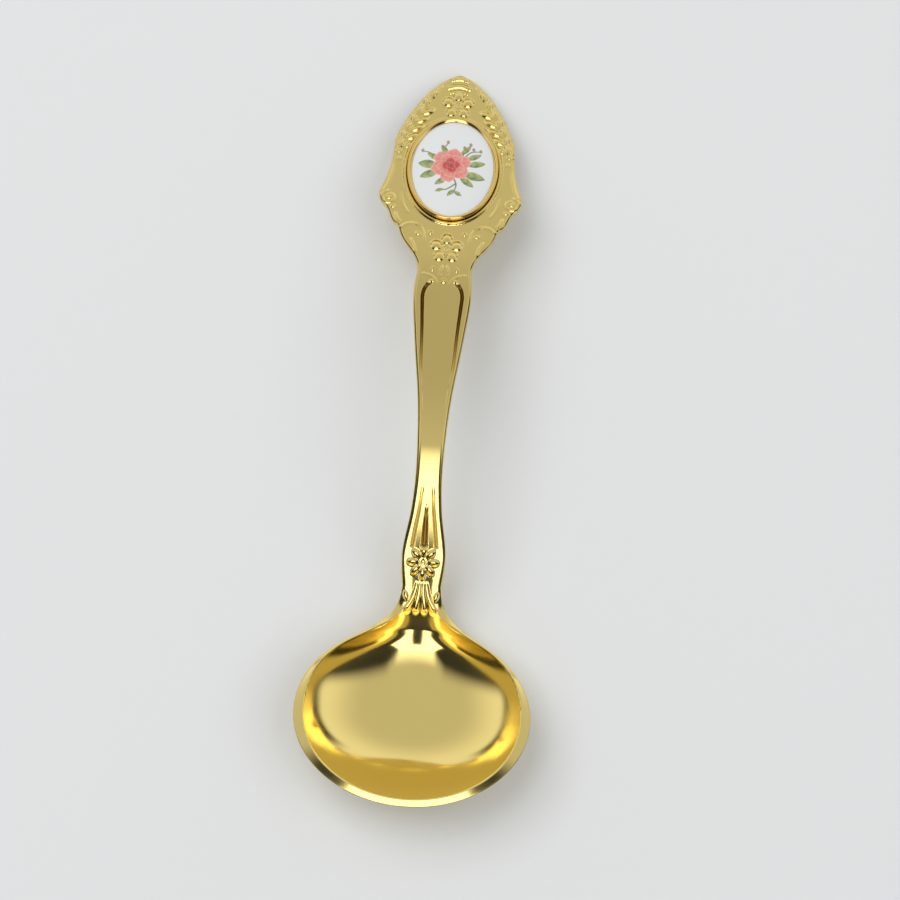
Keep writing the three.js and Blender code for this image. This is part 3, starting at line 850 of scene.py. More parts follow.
@dataclass
class Ornament:
    """Struck ornament of the handle as a height over the plan, in millimetres."""

    blank: Blank
    # Leaves of the crest, with places from the plaque's middle.
    leaves_from: float = 13.6
    leaves_to: float = 4.0
    leaf_step: float = 1.55
    second_row_from: float = 12.0
    # Bead, pocket wall and clear field round the seat, as distances from the plaque's edge.
    bead_height: float = 0.45
    bead_place: float = 0.8
    bead_half: float = 0.36
    pocket_wall: Point = (0.5, 0.3)
    seat_clear: Point = (1.05, 1.35)

    def head(self) -> list[Mark]:
        """Crest, ears, lobes and rosette, drawn with places along from the plaque's middle.

        Returns:
            Drops and lines, moved to their place.
        """
        middle = [
            Line(((-1.5, 16.2), (0, 16.6), (1.5, 16.2)), 0.36, 0.36, 0.36, (0.1, 0.1)),
            Line(((-2.0, 14.8), (0, 15.3), (2.0, 14.8)), 0.44, 0.44, 0.42, (0.1, 0.1)),
            Line(((-1.6, 13.9), (0, 14.3), (1.6, 13.9)), 0.34, 0.34, 0.36, (0.1, 0.1)),
            *Flower(0.0, 11.8, 2.6, 5).marks(),
            *Flower(0.0, -13.7, 2.6, 5).marks(),
            Boss(0, -19.3, 0.55, 0.45, 0, 0.4),
        ]
        sides = [
            Line(((2.7, 15.0), (4.1, 12.9), (5.5, 10.4), (6.9, 7.8), (8.0, 5.0)), 0.26, 0.2, 0.26),
            Boss(8.5, 3.0, 0.42, 0.5, 0, 0.4),
            Boss(8.4, 1.6, 0.3, 0.36, 0, 0.3),
            Line(((9.0, 0.8), (9.2, -1.0), (9.7, -3.0), (10.2, -4.3)), 0.22, 0.32, 0.24, (0.4, 0)),
            Line(self.volute(9.35, -5.4, 1.2, 0.3), 0.32, 0.24, 0.46, (0.08, 0)),
            Boss(9.3, -5.4, 0.4, 0.4, 0, 0.5),
            Boss(8.65, -6.9, 0.42, 0.36, 20, 0.42),
            Line(((7.6, -4.2), (7.2, -6.2), (6.2, -8.0)), 0.16, 0.2, 0.18, (0.3, 0.1)),
            Line(((8.2, -7.9), (7.9, -8.9), (7.3, -9.6)), 0.26, 0.26, 0.3, (0.2, 0.1)),
            Line(((7.4, -10.8), (6.4, -9.9), (5.2, -9.7), (4.2, -10.2), (3.6, -11.2), (3.4, -12.4),
                  (3.3, -13.8)), 0.22, 0.18, 0.36, (0.06, 0.3)),
            Boss(4.5, -11.4, 0.5, 0.32, 15, 0.46),
            Boss(2.6, -11.15, 0.42, 0.36, 0, 0.46),
            Line(((5.6, -12.2), (4.9, -13.4), (4.5, -14.9)), 0.24, 0.16, 0.22, (0.2, 0.3)),
            Boss(1.8, -17.35, 0.4, 0.44, 25, 0.42),
            Line(((3.5, -18.2), (2.6, -18.3), (1.6, -18.8), (1.0, -19.6)), 0.2, 0.24, 0.34, (0.2, 0)),
            Line(((2.6, -20.4), (2.1, -19.6), (1.5, -19.2)), 0.26, 0.3, 0.36, (0.2, 0)),
            Line(((0.35, -16.8), (0.7, -17.8), (0.4, -18.6)), 0.22, 0.18, 0.3, (0, 0.2)),
            *self.leaves(),
        ]
        return [mark.shifted(self.blank.plaque) for mark in [*middle, *both(sides)]]

    def leaves(self) -> list[Mark]:
        """Two rows of leaves inside the crest's right border, the outer row leaning out and in by turns.

        Returns:
            Drops, with places along from the plaque's middle.
        """
        marks = []
        for k, t in enumerate(np.arange(self.leaves_from, self.leaves_to, -self.leaf_step)):
            edge = float(self.blank.half_width(t + self.blank.plaque))
            marks.append(Boss(edge - 1.1, t, 0.56, 1.15, -10 if k % 2 else 24, 0.45))
            if t < self.second_row_from:
                marks.append(Boss(edge - 2.5, t - 0.2, 0.55, 1.2, 66, 0.45))
        return marks

    @staticmethod
    def volute(x: float, t: float, outer: float, inner: float, first: float = 95.0, wind: float = 500.0,
               count: int = 18) -> tuple[Point, ...]:
        """A scroll that winds inwards, its radius falling evenly with the angle.

        Args:
            x: middle across.
            t: middle along.
            outer: first radius.
            inner: last radius.
            first: direction of the first point, in degrees.
            wind: angle that it winds by, in degrees.
            count: number of points.

        Returns:
            Points of the scroll.
        """
        turns = np.linspace(math.radians(first), math.radians(first - wind), count)
        radii = np.linspace(outer, inner, count)
        return tuple(around(x, t, radius, turn) for radius, turn in zip(radii, turns))

    def stem(self) -> list[Mark]:
        """Grooves beside the panel, flutes, neck rosette and tongues, with places along from the bowl's tip.

        Returns:
            Drops and lines.
        """
        places = np.array([52.0, 59.0, 65.0, 70.0, 74.0, 76.3])
        inset = np.array([0.5, 0.55, 0.75, 1.15, 1.36, 1.42])
        groove = tuple(zip(self.blank.half_width(places) - inset, places))
        rosette = self.blank.neck + 3.4
        middle = [
            *Flower(0.0, rosette, 2.45, 8).marks(),
            Line(((0, 44.6), (0, 42.0), (0, rosette + 2.3)), 0.22, 0.6, 0.5, (0.5, 0), Strike.SUNK),
        ]
        for k in (-1.5, -0.5, 0.5, 1.5):
            tongue = ((0.42 * k, rosette - 2.6), (0.72 * k, rosette - 4.6), (1.3 * k, rosette - 6.6))
            middle.append(Line(tongue, 0.24, 0.56, 0.6, (0.25, 0)))
        flute = ((0.7, 47.8), (1.05, 44.0), (1.5, 41.0), (1.85, rosette + 1.9))
        sides = [
            Line((*groove, (2.45, 77.7), (1.6, 78.4)), 0.2, 0.34, 0.5, (0.6, 0.1), Strike.SUNK),
            Line(((1.1, 76.8), (1.0, 70.0), (0.85, 62.0), (0.6, 54.0)), 0.9, 0.5, 0.07, (0.5, 0.5)),
            Line(flute, 0.2, 0.36, 0.36, (0.4, 0.1), Strike.SUNK),
            Boss(2.3, rosette - 4.7, 0.42, 0.95, -18, 0.5),
        ]
        return middle + both(sides)

    def struck(self, x: Array, t: Array) -> tuple[Array, Array]:
        """Raised and sunk ornament apart: the highest of the drops and ridges, the lowest of the grooves.

        Args:
            x: places across.
            t: places along.

        Returns:
            Heights of the one and of the other.
        """
        raised, sunk = np.zeros(np.shape(x)), np.zeros(np.shape(x))
        for mark in [*self.head(), *self.stem()]:
            part = mark.relief(x, t)
            raised, sunk = np.maximum(raised, part), np.minimum(sunk, part)
        return raised, sunk

    def relief(self, x: Array, t: Array, setting: "Setting") -> Array:
        """Whole ornament: raised and sunk marks clear of the seat, a rounded bead round it, a pocket in it.

        Args:
            x: places across.
            t: places along.
            setting: the plaque's sizes.

        Returns:
            Heights over the plain face.
        """
        raised, sunk = self.struck(x, t)
        grow = setting.outwards(x, t)
        bead = np.clip(1 - ((grow - self.bead_place) / self.bead_half) ** 2, 0, 1) ** ROUNDNESS
        seat = self.bead_height * bead - setting.seat_depth * smooth(grow, *self.pocket_wall)
        return (raised + sunk) * smooth(grow, *self.seat_clear) + seat


@dataclass
class Setting:
    """Plaque and bezel ring in the tilted frame of the head, in millimetres."""

    blank: Blank
    # Plaque, with its edge, dome and bed.
    width: float = 13.0
    length: float = 18.0
    edge: float = 0.65
    crown: float = 0.95
    adhesive: float = 0.25
    # Bezel ring: its wall, the lip over the plaque and the section of its top.
    wall: float = 0.35
    lip: float = 0.25
    lip_gap: float = 0.05
    lip_edge: Point = (0.06, 0.02)
    rise: float = 0.95
    ring_top: float = 0.22
    ring_shoulder: float = 0.6
    ring_slope: float = 1.6
    seat_depth: float = 0.8
    gap: float = 0.15
    # Steps of the meshes round the oval, and the share of the plaque's radius with the wider rings.
    ring_turns: int = 256
    plaque_turns: int = 384
    shallow: float = 0.9
    low: float = field(init=False)
    plaque_low: float = field(init=False)
    rim: float = field(init=False)

    def __post_init__(self) -> None:
        """Works out the heights of the ring's foot, the plaque's back and the plaque's edge."""
        self.low = -self.seat_depth + self.gap
        self.plaque_low = self.low + self.adhesive + self.gap
        self.rim = self.plaque_low + self.edge

    def outwards(self, x: Array, t: Array) -> Array:
        """Distance outwards from the plaque's edge, taken as the oval's share times the radius that way.

        Args:
            x: places across.
            t: places along the spoon.

        Returns:
            Distances, below 0 inside.
        """
        y = (t - self.blank.plaque) / math.cos(self.blank.head_tilt)
        share = np.hypot(x / (self.width / 2), y / (self.length / 2))
        radius = np.hypot(x, y) / np.maximum(share, TINY)
        return (share - 1) * radius

    def placed(self, x: Array, y: Array, z: Value) -> Array:
        """Points of the setting's frame in the row frame, in metres.

        Args:
            x: across.
            y: along the face.
            z: out of the face.

        Returns:
            Points, one more axis than the arguments.
        """
        b = self.blank
        c, s = math.cos(b.head_tilt), math.sin(b.head_tilt)
        height = float(b.top(np.array(0.0), np.array(b.plaque)))
        x, y, z = np.broadcast_arrays(x, y, z)
        return np.stack([x, b.plaque - b.crest / 2 + y * c + z * s, height - y * s + z * c], axis=-1) * MM

    def dome(self, share: Value) -> Value:
        """Height of the plaque's face, which falls with the cube of the share of the radius."""
        return self.rim + self.crown * (1 - share**3)

    def build_ring(self, material: bpy.types.Material) -> bpy.types.Object:
        """Bezel ring: a wall with a rounded top that slopes in over the plaque, swept round the oval.

        Args:
            material: its material.

        Returns:
            The ring.
        """
        outer, inner, lip, top = self.gap + self.wall, self.gap, -self.lip, self.ring_top
        bend = np.linspace(0, math.pi / 2, 7)
        up = self.ring_shoulder + (self.rise - self.ring_shoulder) * np.sin(bend)
        shoulder = np.stack([top + (outer - top) * np.cos(bend), up], axis=1)
        run = np.linspace(0, 1, 9)[1:]
        foot = self.dome(1 + lip / (self.width / 2)) + self.lip_gap
        down = foot + (self.rise - foot) * (1 - run**self.ring_slope)
        slope = np.stack([mix(top, lip, run), down], axis=1)
        floor = foot - self.lip_edge[1]
        under = [(lip + self.lip_edge[0], floor), (inner, floor), (inner, self.low), (outer, self.low)]
        section = np.vstack([shoulder, slope, under, shoulder[:1]])
        grow = section[:, :1]
        turn = np.linspace(0, 2 * math.pi, self.ring_turns + 1)[None]
        x, y = (self.width / 2 + grow) * np.cos(turn), (self.length / 2 + grow) * np.sin(turn)
        return mesh_piece("bezel_gilt", [self.placed(x, y, section[:, 1:])], material)

    def build_plaque(self, material: bpy.types.Material) -> bpy.types.Object:
        """Porcelain plaque: the dome, an upright edge and a flat back, as rings of the oval.

        Args:
            material: its material.

        Returns:
            The plaque with its print.
        """
        turn = np.linspace(0, 2 * math.pi, self.plaque_turns + 1)[None]
        x, y = self.width / 2 * np.cos(turn), self.length / 2 * np.sin(turn)
        brink = np.linspace(self.shallow, 1, 12)[1:]
        share = np.concatenate([np.linspace(0, self.shallow, 91), brink])[:, None]
        face = self.placed(share * x, share * y, self.dome(share))
        share = np.array([1.0, 1.0, 0.5, 0.0])[:, None]
        height = np.array([self.rim, self.plaque_low, self.plaque_low, self.plaque_low])[:, None]
        back = self.placed(share * x, share * y, height)
        piece = mesh_piece("plaque_porcelain", [face, back], material)
        spots = vertices(piece)
        along = (spots[:, 1] - (self.blank.plaque - self.blank.crest / 2)) / math.cos(self.blank.head_tilt)
        colours = np.ones((len(spots), 4), np.float32)
        colours[:, :3] = Spray().paint(spots[:, 0], along)
        layer = piece.data.color_attributes.new(PRINT, "FLOAT_COLOR", "POINT")
        layer.data.foreach_set("color", colours.ravel())
        return piece


@dataclass(frozen=True)
class PetalRing:
    """One ring of the rose's petals: sizes in millimetres, the first petal's direction in degrees."""

    reach: float
    half_length: float
    half_width: float
    count: int
    first: float
    light: Colour
    dark: Colour


@dataclass
class Spray:
    """A rose spray of our own on the plaque, painted point by point in linear colour."""

    ground: Colour = (0.80, 0.82, 0.82)
    pale: Colour = (0.82, 0.33, 0.27)
    coral: Colour = (0.64, 0.09, 0.07)
    heart: Colour = (0.36, 0.03, 0.05)
    petal_rim: Colour = (0.92, 0.66, 0.58)
    leaf: Colour = (0.10, 0.17, 0.03)
    leaf_light: Colour = (0.42, 0.48, 0.13)
    twig: Colour = (0.17, 0.16, 0.05)
    bud: Colour = (0.37, 0.224, 0.106)
    rose: Point = (-0.3, 0.5)
    # Relief that stands for full ink, and how much of the ground each stroke covers.
    ink: float = 0.1
    twig_cover: float = 0.85
    bud_cover: float = 0.9
    leaf_cover: float = 0.92
    rib_cover: float = 0.5
    rim_cover: float = 0.45
    twigs: tuple[tuple[Point, ...], ...] = (
        ((0.1, -1.6), (0.7, -3.1), (0.3, -4.7)),
        ((0.6, -2.9), (-0.6, -3.9), (-1.5, -4.1)),
        ((-1.2, 2.2), (-1.6, 3.4), (-1.0, 4.6)),
        ((1.6, 1.9), (2.6, 3.1), (3.9, 3.4)),
        ((1.3, 2.2), (1.7, 3.4), (2.4, 4.3)),
        ((-2.0, 1.0), (-3.6, 2.6), (-4.6, 2.9)),
    )
    # Foot, point and half width of each leaf.
    leaves: tuple[tuple[Point, Point, float], ...] = (
        ((1.5, -0.9), (5.1, -1.7), 0.8),
        ((1.1, -1.5), (3.4, -3.3), 0.62),
        ((-2.2, 0.3), (-5.4, 0.7), 0.85),
        ((-2.0, -0.7), (-5.0, -1.9), 0.75),
        ((-1.9, 1.3), (-4.1, 2.6), 0.55),
        ((-0.7, -1.8), (-2.6, -3.2), 0.55),
        ((2.0, 0.6), (5.0, 1.3), 0.65),
        ((1.9, 1.6), (4.3, 2.9), 0.55),
        ((1.0, 2.4), (2.6, 4.4), 0.5),
        ((-0.9, 2.4), (-2.0, 4.2), 0.5),
        ((0.4, -4.2), (1.7, -5.0), 0.4),
        ((0.5, -3.9), (-0.6, -5.2), 0.4),
        ((-1.1, -3.9), (-2.5, -4.4), 0.36),
    )
    buds: tuple[Point, ...] = (
        (-1.0, 4.8), (-1.75, 3.9), (4.1, 3.5), (3.0, 3.7), (2.5, 4.6), (1.6, 3.9), (-4.8, 3.1))

    def paint(self, x: Array, y: Array) -> Array:
        """Colours of the print: twigs, leaves and buds first, then the rose's petals from the outside in.

        Args:
            x: places across the plaque.
            y: places along the plaque.

        Returns:
            One linear colour for each place.
        """
        colour = np.tile(np.array(self.ground), (len(x), 1))
        for points in self.twigs:
            line = Line(points, 0.15, 0.1, self.ink).relief(x, y)
            colour = self.lay(colour, self.twig_cover * smooth(line, 0.0, self.ink / 2), self.twig)
        for base, tip, wide in self.leaves:
            colour = self.add_leaf(colour, x, y, base, tip, wide)
        for spot in self.buds:
            drop = Boss(*spot, 0.28, 0.4, 10, self.ink).relief(x, y)
            colour = self.lay(colour, self.bud_cover * smooth(drop, 0.0, self.ink / 2), self.bud)
        rings = (
            PetalRing(1.65, 1.5, 1.3, 6, 20, self.pale, self.coral),
            PetalRing(1.05, 1.2, 1.05, 5, 50, self.pale, self.coral),
            PetalRing(0.6, 0.85, 0.75, 4, 10, self.coral, self.heart),
            PetalRing(0.25, 0.5, 0.42, 3, 70, self.coral, self.heart),
        )
        for ring in rings:
            for k in range(ring.count):
                colour = self.add_petal(colour, x, y, ring.first + 360 * k / ring.count, ring)
        return colour

    @staticmethod
    def lay(colour: Array, cover: Array, over: Colour | Array) -> Array:
        """Lays one colour over another."""
        return mix(colour, np.array(over), cover[:, None])

    def add_leaf(self, colour: Array, x: Array, y: Array, base: Point, tip: Point, wide: float) -> Array:
        """A leaf: wide as the sine of its length, darker to one side, with a pale midrib.

        Args:
            colour: colours so far.
            x: places across.
            y: places along.
            base: foot of the leaf.
            tip: its point.
            wide: half its width.

        Returns:
            The colours with the leaf.
        """
        run = np.array(tip) - np.array(base)
        long = float(np.linalg.norm(run))
        a = ((x - base[0]) * run[0] + (y - base[1]) * run[1]) / long**2
        d = ((y - base[1]) * run[0] - (x - base[0]) * run[1]) / long
        width = wide * np.maximum(0, np.sin(math.pi * np.clip(a, 0, 1))) ** 0.8
        inside = smooth(width - np.abs(d), 0.0, 0.12) * ((a > 0) & (a < 1))
        tone = np.clip(0.45 + 0.5 * d / wide + 0.25 * np.sin(18 * a + 6 * np.abs(d)), 0, 1)[:, None]
        green = mix(np.array(self.leaf), np.array(self.leaf_light), tone)
        rib = smooth(np.abs(d), 0.09, 0.02) * inside * smooth(a, 1.0, 0.7)
        colour = self.lay(colour, self.leaf_cover * inside, green)
        return self.lay(colour, self.rib_cover * rib, self.leaf_light)

    def add_petal(self, colour: Array, x: Array, y: Array, turn: float, ring: PetalRing) -> Array:
        """A petal: an oval that pales from its foot to its outer edge, with a thin pale rim.

        Args:
            colour: colours so far.
            x: places across.
            y: places along.
            turn: direction from the heart, in degrees.
            ring: sizes and colours of its ring.

        Returns:
            The colours with the petal.
        """
        c, s = math.cos(math.radians(turn)), math.sin(math.radians(turn))
        a = (x - self.rose[0]) * c + (y - self.rose[1]) * s - ring.reach
        b = (y - self.rose[1]) * c - (x - self.rose[0]) * s
        size = np.hypot(a / ring.half_length, b / ring.half_width) * (1 + 0.05 * np.sin(5 * b + turn))
        cover = smooth(size, 1.04, 0.94)
        tone = np.clip(0.5 + 0.62 * a / ring.half_length + 0.12 * np.sin(9 * b), 0, 1)[:, None]
        colour = self.lay(colour, cover, mix(np.array(ring.dark), np.array(ring.light), tone))
        return self.lay(colour, self.rim_cover * cover * smooth(size, 0.84, 0.97), self.petal_rim)


@dataclass
class SpoonBody:
    """The struck and gilded blank with its ornament as one closed fine surface: a grid for each face of the
    handle, rings for the bowl, joined at a line across the heel."""

    blank: Blank
    ornament: Ornament
    setting: Setting
    join: float = 27.6
    level_from: float = 22.0
    columns: int = 112
    under_columns: int = 12
    # Where the handle's rows change their step, and the steps on neck, stem and head.
    neck_end: float = 47.0
    head_start: float = 75.0
    row_steps: Triple = (0.17, 0.6, 0.14)
    tail: float = 1.2
    tail_rows: int = 14
    tail_power: float = 1.6
    # Rounded edge: its steps and bevel, and its radii with the places where they change.
    round_steps: int = 6
    bevel: float = math.radians(43.0)
    bevel_eases: Point = (0.25, 0.7)
    rim_rounding: float = 0.11
    neck_rounding: float = 0.24
    neck_rounded: Point = (24.0, 33.0)
    stem_rounding: float = 0.5
    stem_rounded: Point = (38.0, 50.0)
    most_rounding: float = 0.45
    lean_step: float = 0.03
    # Steps along the rim and rings of the bowl's faces.
    rim_steps: int = 120
    floor_rings: int = 25
    wall_rings: int = 7
    land_rings: int = 10
    wall_from: float = 0.9
    # Painted shade over the stem, half of it on the head, and the depths over which a groove's painted shade
    # grows.
    stem_shade: float = 0.25
    stem_shade_from: Point = (50.0, 64.0)
    head_shade_from: Point = (78.0, 84.0)
    groove_depth: Point = (0.05, 0.5)

    def rim_corner(self, t: Array) -> Array:
        """Radius of the rounded corners at the rim, which grows towards the neck."""
        return mix(self.rim_rounding, self.neck_rounding, smooth(t, *self.neck_rounded))

    def rounding(self, t: Array) -> Array:
        """Radius of the handle's rounded corners, no more than the plan has room for."""
        wide = mix(self.rim_corner(t), self.stem_rounding, smooth(t, *self.stem_rounded))
        return np.minimum(wide, self.most_rounding * self.blank.half_width(t))

    def rows(self) -> Array:
        """Stations of the handle's rows, dense where the ornament is and denser towards the crest's point.

        Returns:
            Places along the length.
        """
        ends = (self.join, self.neck_end, self.head_start, self.blank.crest - self.tail)
        spans = [np.arange(start, end, step) for start, end, step in zip(ends, ends[1:], self.row_steps)]
        tail = self.blank.crest - self.tail * np.linspace(1, 0, self.tail_rows) ** self.tail_power
        return np.concatenate([*spans, tail])

    def corner(self, border: Array, out: Array, size: Array, top: Array, low: Array, lean: Array) -> Array:
        """Outer edge from the upper face's border to the lower face's: a bevel and a round with an upright
        between, the bevel easing in from the slope that the face has there.

        Args:
            border: border places as rows of (x, t).
            out: outward directions as rows of (x, t).
            size: corner radii.
            top: heights of the upper border.
            low: heights of the lower border.
            lean: angles of the upper face's fall at its border.

        Returns:
            Points with the steps of the edge as the second axis.
        """
        run = np.linspace(0, 1, self.round_steps + 1)
        part = (run[1:] + run[:-1])[None] / 2
        bevel = mix(lean[:, None], self.bevel, smooth(part, 0.0, self.bevel_eases[0]))
        bend = mix(bevel, math.pi / 2, smooth(part, self.bevel_eases[1], 1.0))
        start = np.zeros((len(lean), 1))
        push = np.hstack([start, np.cumsum(np.cos(bend), axis=1)])
        drop = np.hstack([start, np.cumsum(np.sin(bend), axis=1)])
        room = self.most_rounding * np.maximum(top - low, MM)
        size_z = np.minimum(size * drop[:, -1] / push[:, -1], room)[:, None]
        upper = top[:, None] - size_z * drop / drop[:, -1:]
        plain = run[None, ::-1] * math.pi / 2
        lower = low[:, None] + size_z * (1 - np.cos(plain))
        away = size[:, None] * np.hstack([push / push[:, -1:], np.broadcast_to(np.sin(plain), push.shape)])
        spot = border[:, None] + away[..., None] * out[:, None]
        return self.blank.row(spot[..., 0], spot[..., 1], np.concatenate([upper, lower], axis=1))

    def face_height(self, x: Array, t: Array) -> Array:
        """Upper face with its ornament."""
        return self.blank.top(x, t) + self.ornament.relief(x, t, self.setting)

    def handle(self) -> list[Array]:
        """Handle from the ramp to the crest: upper face, lower face and two edges.

        Returns:
            Grids.
        """
        t = self.rows()
        size = self.rounding(t)
        inner = self.blank.half_width(t) - size
        grids, heights = [], []
        for face, columns in ((self.face_height, self.columns), (self.blank.under, self.under_columns)):
            x = inner[:, None] * np.linspace(-1, 1, columns + 1)[None]
            along = np.broadcast_to(t[:, None], x.shape)
            height = face(x, along)
            grids.append(self.blank.row(x, along, height))
            heights.append(height)
        top, low = heights
        fall = self.blank.top((1 - self.lean_step) * inner, t) - self.blank.top(inner, t)
        lean = np.arctan(np.clip(fall / (self.lean_step * inner + TINY), 0, 1))
        lean = lean * smooth(t, self.join, self.blank.neck)
        for side, column in ((1.0, -1), (-1.0, 0)):
            border = np.stack([side * inner, t], axis=1)
            out = np.tile(np.array([side, 0.0]), (len(t), 1))
            grids.append(self.corner(border, out, size, top[:, column], low[:, column], lean))
        return grids

    def bowl_loop(self) -> tuple[Array, Array, Array]:
        """Bowl's outline from the right join round the tip to the left join, its outward direction turned
        level at the joins, where the handle's edges begin.

        Returns:
            Border places set in by the rounding, outward directions, and the rounding.
        """
        plan = self.blank.plan
        steps = np.concatenate([[0], np.cumsum(np.hypot(*np.diff(plan, axis=0).T))])
        run = np.linspace(0, 1, self.rim_steps + 1) * np.interp(self.join, plan[:, 1], steps)
        spot = np.stack([np.interp(run, steps, plan[:, k]) for k in (0, 1)], axis=1)
        spot[0] = (0.0, 0.0)
        spot[-1] = (self.blank.half_width(self.join), self.join)
        slope = np.gradient(spot, axis=0)
        out = np.stack([slope[:, 1], -slope[:, 0]], axis=1)
        out[0] = (0.0, -1.0)
        level = smooth(spot[:, 1], self.level_from, self.join)[:, None]
        out = mix(out / np.linalg.norm(out, axis=1, keepdims=True), np.array([1.0, 0.0]), level)
        out /= np.linalg.norm(out, axis=1, keepdims=True)
        size = self.rim_corner(spot[:, 1])
        inset = spot - out * size[:, None]
        flip = np.array([-1.0, 1.0])
        border = np.vstack([inset[::-1], inset[1:] * flip])
        return border, np.vstack([out[::-1], out[1:] * flip]), np.concatenate([size[::-1], size[1:]])

    def bowl(self) -> list[Array]:
        """Bowl: upper and lower faces as rings from the middle to the border, and the rim's edge.

        Returns:
            Grids.
        """
        border, out, size = self.bowl_loop()
        middle = self.blank.middle
        wall = np.linspace(self.wall_from, 1, self.wall_rings + 1)[1:]
        shares = np.concatenate([np.linspace(0, self.wall_from, self.floor_rings + 1), wall])
        spread = np.linspace(0, 1, self.land_rings + 1)[1:][:, None]
        grids, heights = [], []
        for face, columns in ((self.face_height, self.columns), (self.blank.under, self.under_columns)):
            chord_x = np.linspace(border[-1, 0], border[0, 0], columns + 1)[1:]
            loop = np.vstack([border, np.stack([chord_x, np.full(columns, self.join)], axis=1)])
            angle = np.arctan2(loop[:, 1] - middle, loop[:, 0])
            oval = 1 / np.hypot(np.cos(angle) / self.blank.across, np.sin(angle) / middle)
            inner = (shares * self.blank.land)[:, None] * oval[None]
            reach = np.hypot(loop[:, 0], loop[:, 1] - middle)
            rings = np.vstack([inner, mix(self.blank.land * oval, reach, spread)])
            x, t = rings * np.cos(angle), middle + rings * np.sin(angle)
            x[-1], t[-1] = loop[:, 0], loop[:, 1]
            height = face(x, t)
            grids.append(self.blank.row(x, t, height))
            heights.append(height[-1, : len(border)])
        return [*grids, self.corner(border, out, size, *heights, np.zeros(len(border)))]

    def build(self, material: bpy.types.Material) -> bpy.types.Object:
        """Builds the body and paints shade as a mesh attribute: darkest deep in a groove, some over the stem
        and half that on the head.

        Args:
            material: its material.

        Returns:
            The object.
        """
        piece = mesh_piece("spoon_gilt", [*self.handle(), *self.bowl()], material)
        spots = vertices(piece)
        x, t = spots[:, 0], spots[:, 1] + self.blank.crest / 2
        upper = spots[:, 2] > (self.blank.under(x, t) + self.blank.top(x, t)) / 2
        sunk = self.ornament.struck(x, t)[1]
        # Painted shade over the stem, easing to half of it on the head.
        stem_shade = self.stem_shade * smooth(t, *self.stem_shade_from) * (1 - 0.5 * smooth(t, *self.head_shade_from))
        # Painted shade: darkest deep in the upper face's grooves, and at least the stem's share elsewhere.
        shade_share = np.maximum(upper * smooth(-sunk, *self.groove_depth), stem_shade)
        layer = piece.data.attributes.new(PAINTED_SHADE, "FLOAT", "POINT")
        layer.data.foreach_set("value", shade_share.astype(np.float32))
        return piece


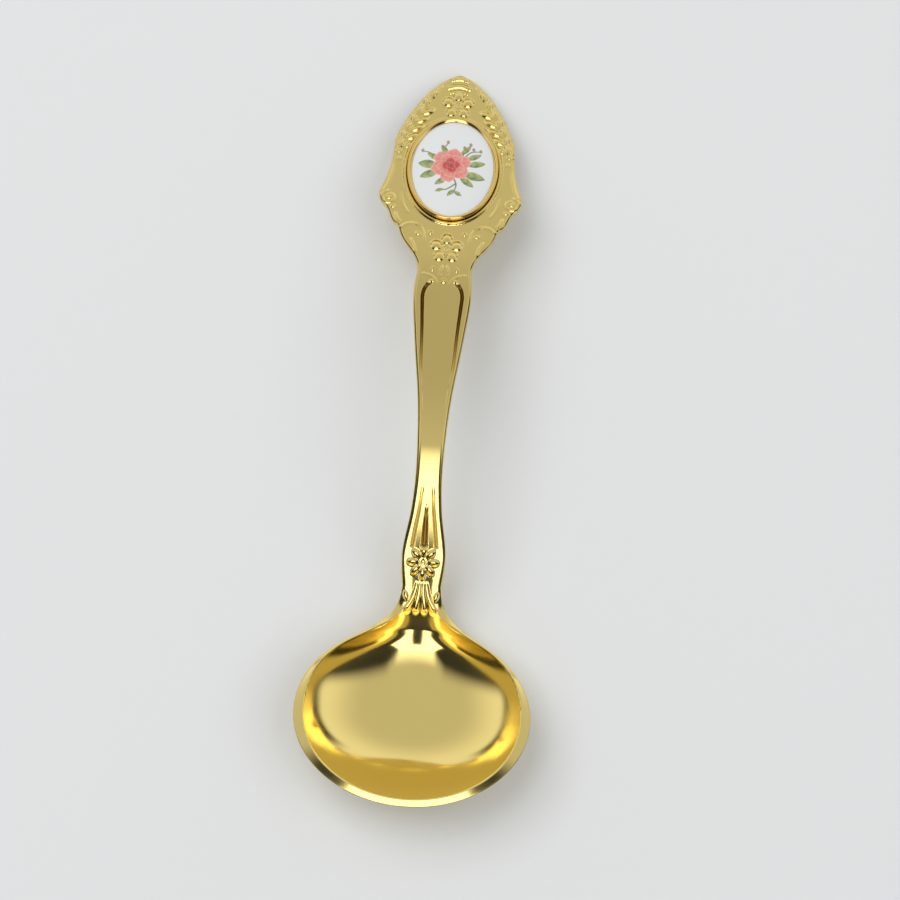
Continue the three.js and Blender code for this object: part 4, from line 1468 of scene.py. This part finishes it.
@dataclass
class Studio:
    """Pale floor, soft light and the photo's camera; lengths in metres, the lens in millimetres, angles in
    degrees. The room's levels are the strength of its light in the gold."""

    floor_colour: Colour = (0.81, 0.825, 0.83)
    floor_half: float = 3.0
    elevation: float = 78.0
    azimuth: float = 4.13
    distance: float = 0.45
    target: Triple = (0.0026977, -0.0029392, 0.005)
    lens: float = 119.06
    sensor: float = 36.0
    clip: float = 0.01
    overhead: float = 0.62
    low_wall: float = 0.95
    dark: float = 0.06
    window: float = 2.3
    fill: float = 0.45

    def camera(self) -> None:
        """Sets the camera at the photo's view."""
        a, e = math.radians(self.azimuth), math.radians(self.elevation)
        back = Vector((math.sin(a) * math.cos(e), -math.cos(a) * math.cos(e), math.sin(e)))
        data = bpy.data.cameras.new("camera")
        data.lens, data.sensor_width, data.clip_start = self.lens, self.sensor, self.clip
        camera = bpy.data.objects.new("camera", data)
        camera.location = Vector(self.target) + back * self.distance
        camera.rotation_euler = (-back).to_track_quat("-Z", "Y").to_euler()
        bpy.context.collection.objects.link(camera)
        bpy.context.scene.camera = camera

    def floor(self) -> None:
        """Lays the floor on the table plane."""
        half = self.floor_half
        mesh = bpy.data.meshes.new("floor")
        corners = [(-half, -half, 0), (half, -half, 0), (half, half, 0), (-half, half, 0)]
        mesh.from_pydata(corners, [], [(0, 1, 2, 3)])
        mesh.materials.append(PlainFinish("floor", self.floor_colour, roughness=0.9).material())
        floor = bpy.data.objects.new("floor", mesh)
        bpy.context.collection.objects.link(floor)

    def light(self, name: str, place: Triple, size: float, watts: float) -> None:
        """A soft square light, turned to the spoon, that reflections don't see.

        Args:
            name: its name.
            place: where it hangs.
            size: its side.
            watts: its power.
        """
        data = bpy.data.lights.new(name, "AREA")
        data.size, data.energy = size, watts
        lamp = bpy.data.objects.new(name, data)
        lamp.location = place
        lamp.rotation_euler = Vector(place).to_track_quat("Z", "Y").to_euler()
        lamp.visible_glossy = False
        bpy.context.collection.objects.link(lamp)

    def surroundings(self) -> None:
        """The room as the gold reflects it, as steps on the direction that a ray leaves in: grey overhead,
        paler low down, dark in front and low at the sides, with a bright window on either side of the
        photographer. Other rays see an even level."""
        world = bpy.data.worlds.new("room")
        bpy.context.scene.world = world
        nodes = Nodes(world)
        way = nodes.add("SeparateXYZ")
        nodes.link(nodes.add("TexCoord").outputs["Generated"], way.inputs[0])
        x, y, z = way.outputs
        wide = nodes.math("ABSOLUTE", x)
        # Walls and ceiling: dark in front up to near the top, and at the sides only about the horizon.
        ceiling = nodes.step(z, 0.15, 0.75, self.low_wall, self.overhead)
        front = nodes.most(nodes.step(y, -0.25, 0.0, self.dark, 1.0), nodes.step(z, 0.8, 0.93, 0.0, 1.0))
        side = nodes.most(nodes.step(wide, 0.5, 0.8, 1.0, self.dark), nodes.step(z, 0.06, 0.16, 0.0, 1.0))
        shade = nodes.times(nodes.times(ceiling, front), side)
        # Windows: one on each side between two slants from the middle, joined high up across the gap.
        aside = nodes.math("DIVIDE", wide, nodes.most(nodes.times(y, -1.0), 0.01))
        high = nodes.step(z, 0.7, 0.8, 0.0, 1.0)
        gap = nodes.most(nodes.step(aside, 0.1, 0.14, 0.0, 1.0), high)
        narrow = nodes.times(nodes.step(wide, 0.3, 0.45, 1.0, 0.0), high)
        frames = nodes.times(gap, nodes.most(nodes.step(aside, 0.85, 0.95, 1.0, 0.0), narrow))
        pane = nodes.times(nodes.step(z, 0.48, 0.52, 0.0, 1.0), nodes.step(y, 0.08, -0.5, 0.0, 1.0))
        level = nodes.most(shade, nodes.times(nodes.times(frames, pane), self.window))
        glossy = nodes.add("LightPath").outputs["Is Glossy Ray"]
        other = nodes.math("SUBTRACT", 1.0, glossy)
        strength = nodes.math("ADD", nodes.times(level, glossy), nodes.times(other, self.fill))
        room = nodes.add("Background", Color=(1.0, 1.0, 1.0, 1.0))
        nodes.link(strength, room.inputs["Strength"])
        nodes.link(room.outputs[0], nodes.add("OutputWorld").inputs["Surface"])

    def build(self) -> None:
        """Sets floor, room, lights and camera."""
        self.floor()
        self.surroundings()
        self.light("soft_key", place=(-0.5, 0.3, 1.0), size=0.9, watts=6.0)
        self.light("soft_fill", place=(0.7, -0.2, 1.0), size=1.0, watts=3.4)
        self.camera()
        view = bpy.context.scene.view_settings
        view.view_transform, view.look = "Standard", "None"


def main() -> None:
    """Builds the spoon's pieces on the frame, then the studio."""
    logging.basicConfig(level=logging.INFO)
    low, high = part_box("spoon_body")
    blank = Blank(length=(high.y - low.y) / MM)
    setting = Setting(blank)
    gold = GoldFinish("gilt metal", (0.88, 0.70, 0.25), scratches=0.06).material()
    ring_gold = GoldFinish("gilt bezel", (0.82, 0.60, 0.20), roughness=0.12).material()
    glaze = GlazeFinish().material()
    install(SpoonBody(blank, Ornament(blank), setting).build(gold), "spoon_body")
    install(setting.build_ring(ring_gold), "bezel_ring")
    install(setting.build_plaque(glaze), "porcelain_plaque")
    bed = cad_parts["adhesive_bed"]
    bed.data.materials.clear()
    bed.data.materials.append(PlainFinish("adhesive", (0.66, 0.60, 0.44), roughness=0.5).material())
    Studio().build()


if __name__ == "__main__":
    main()
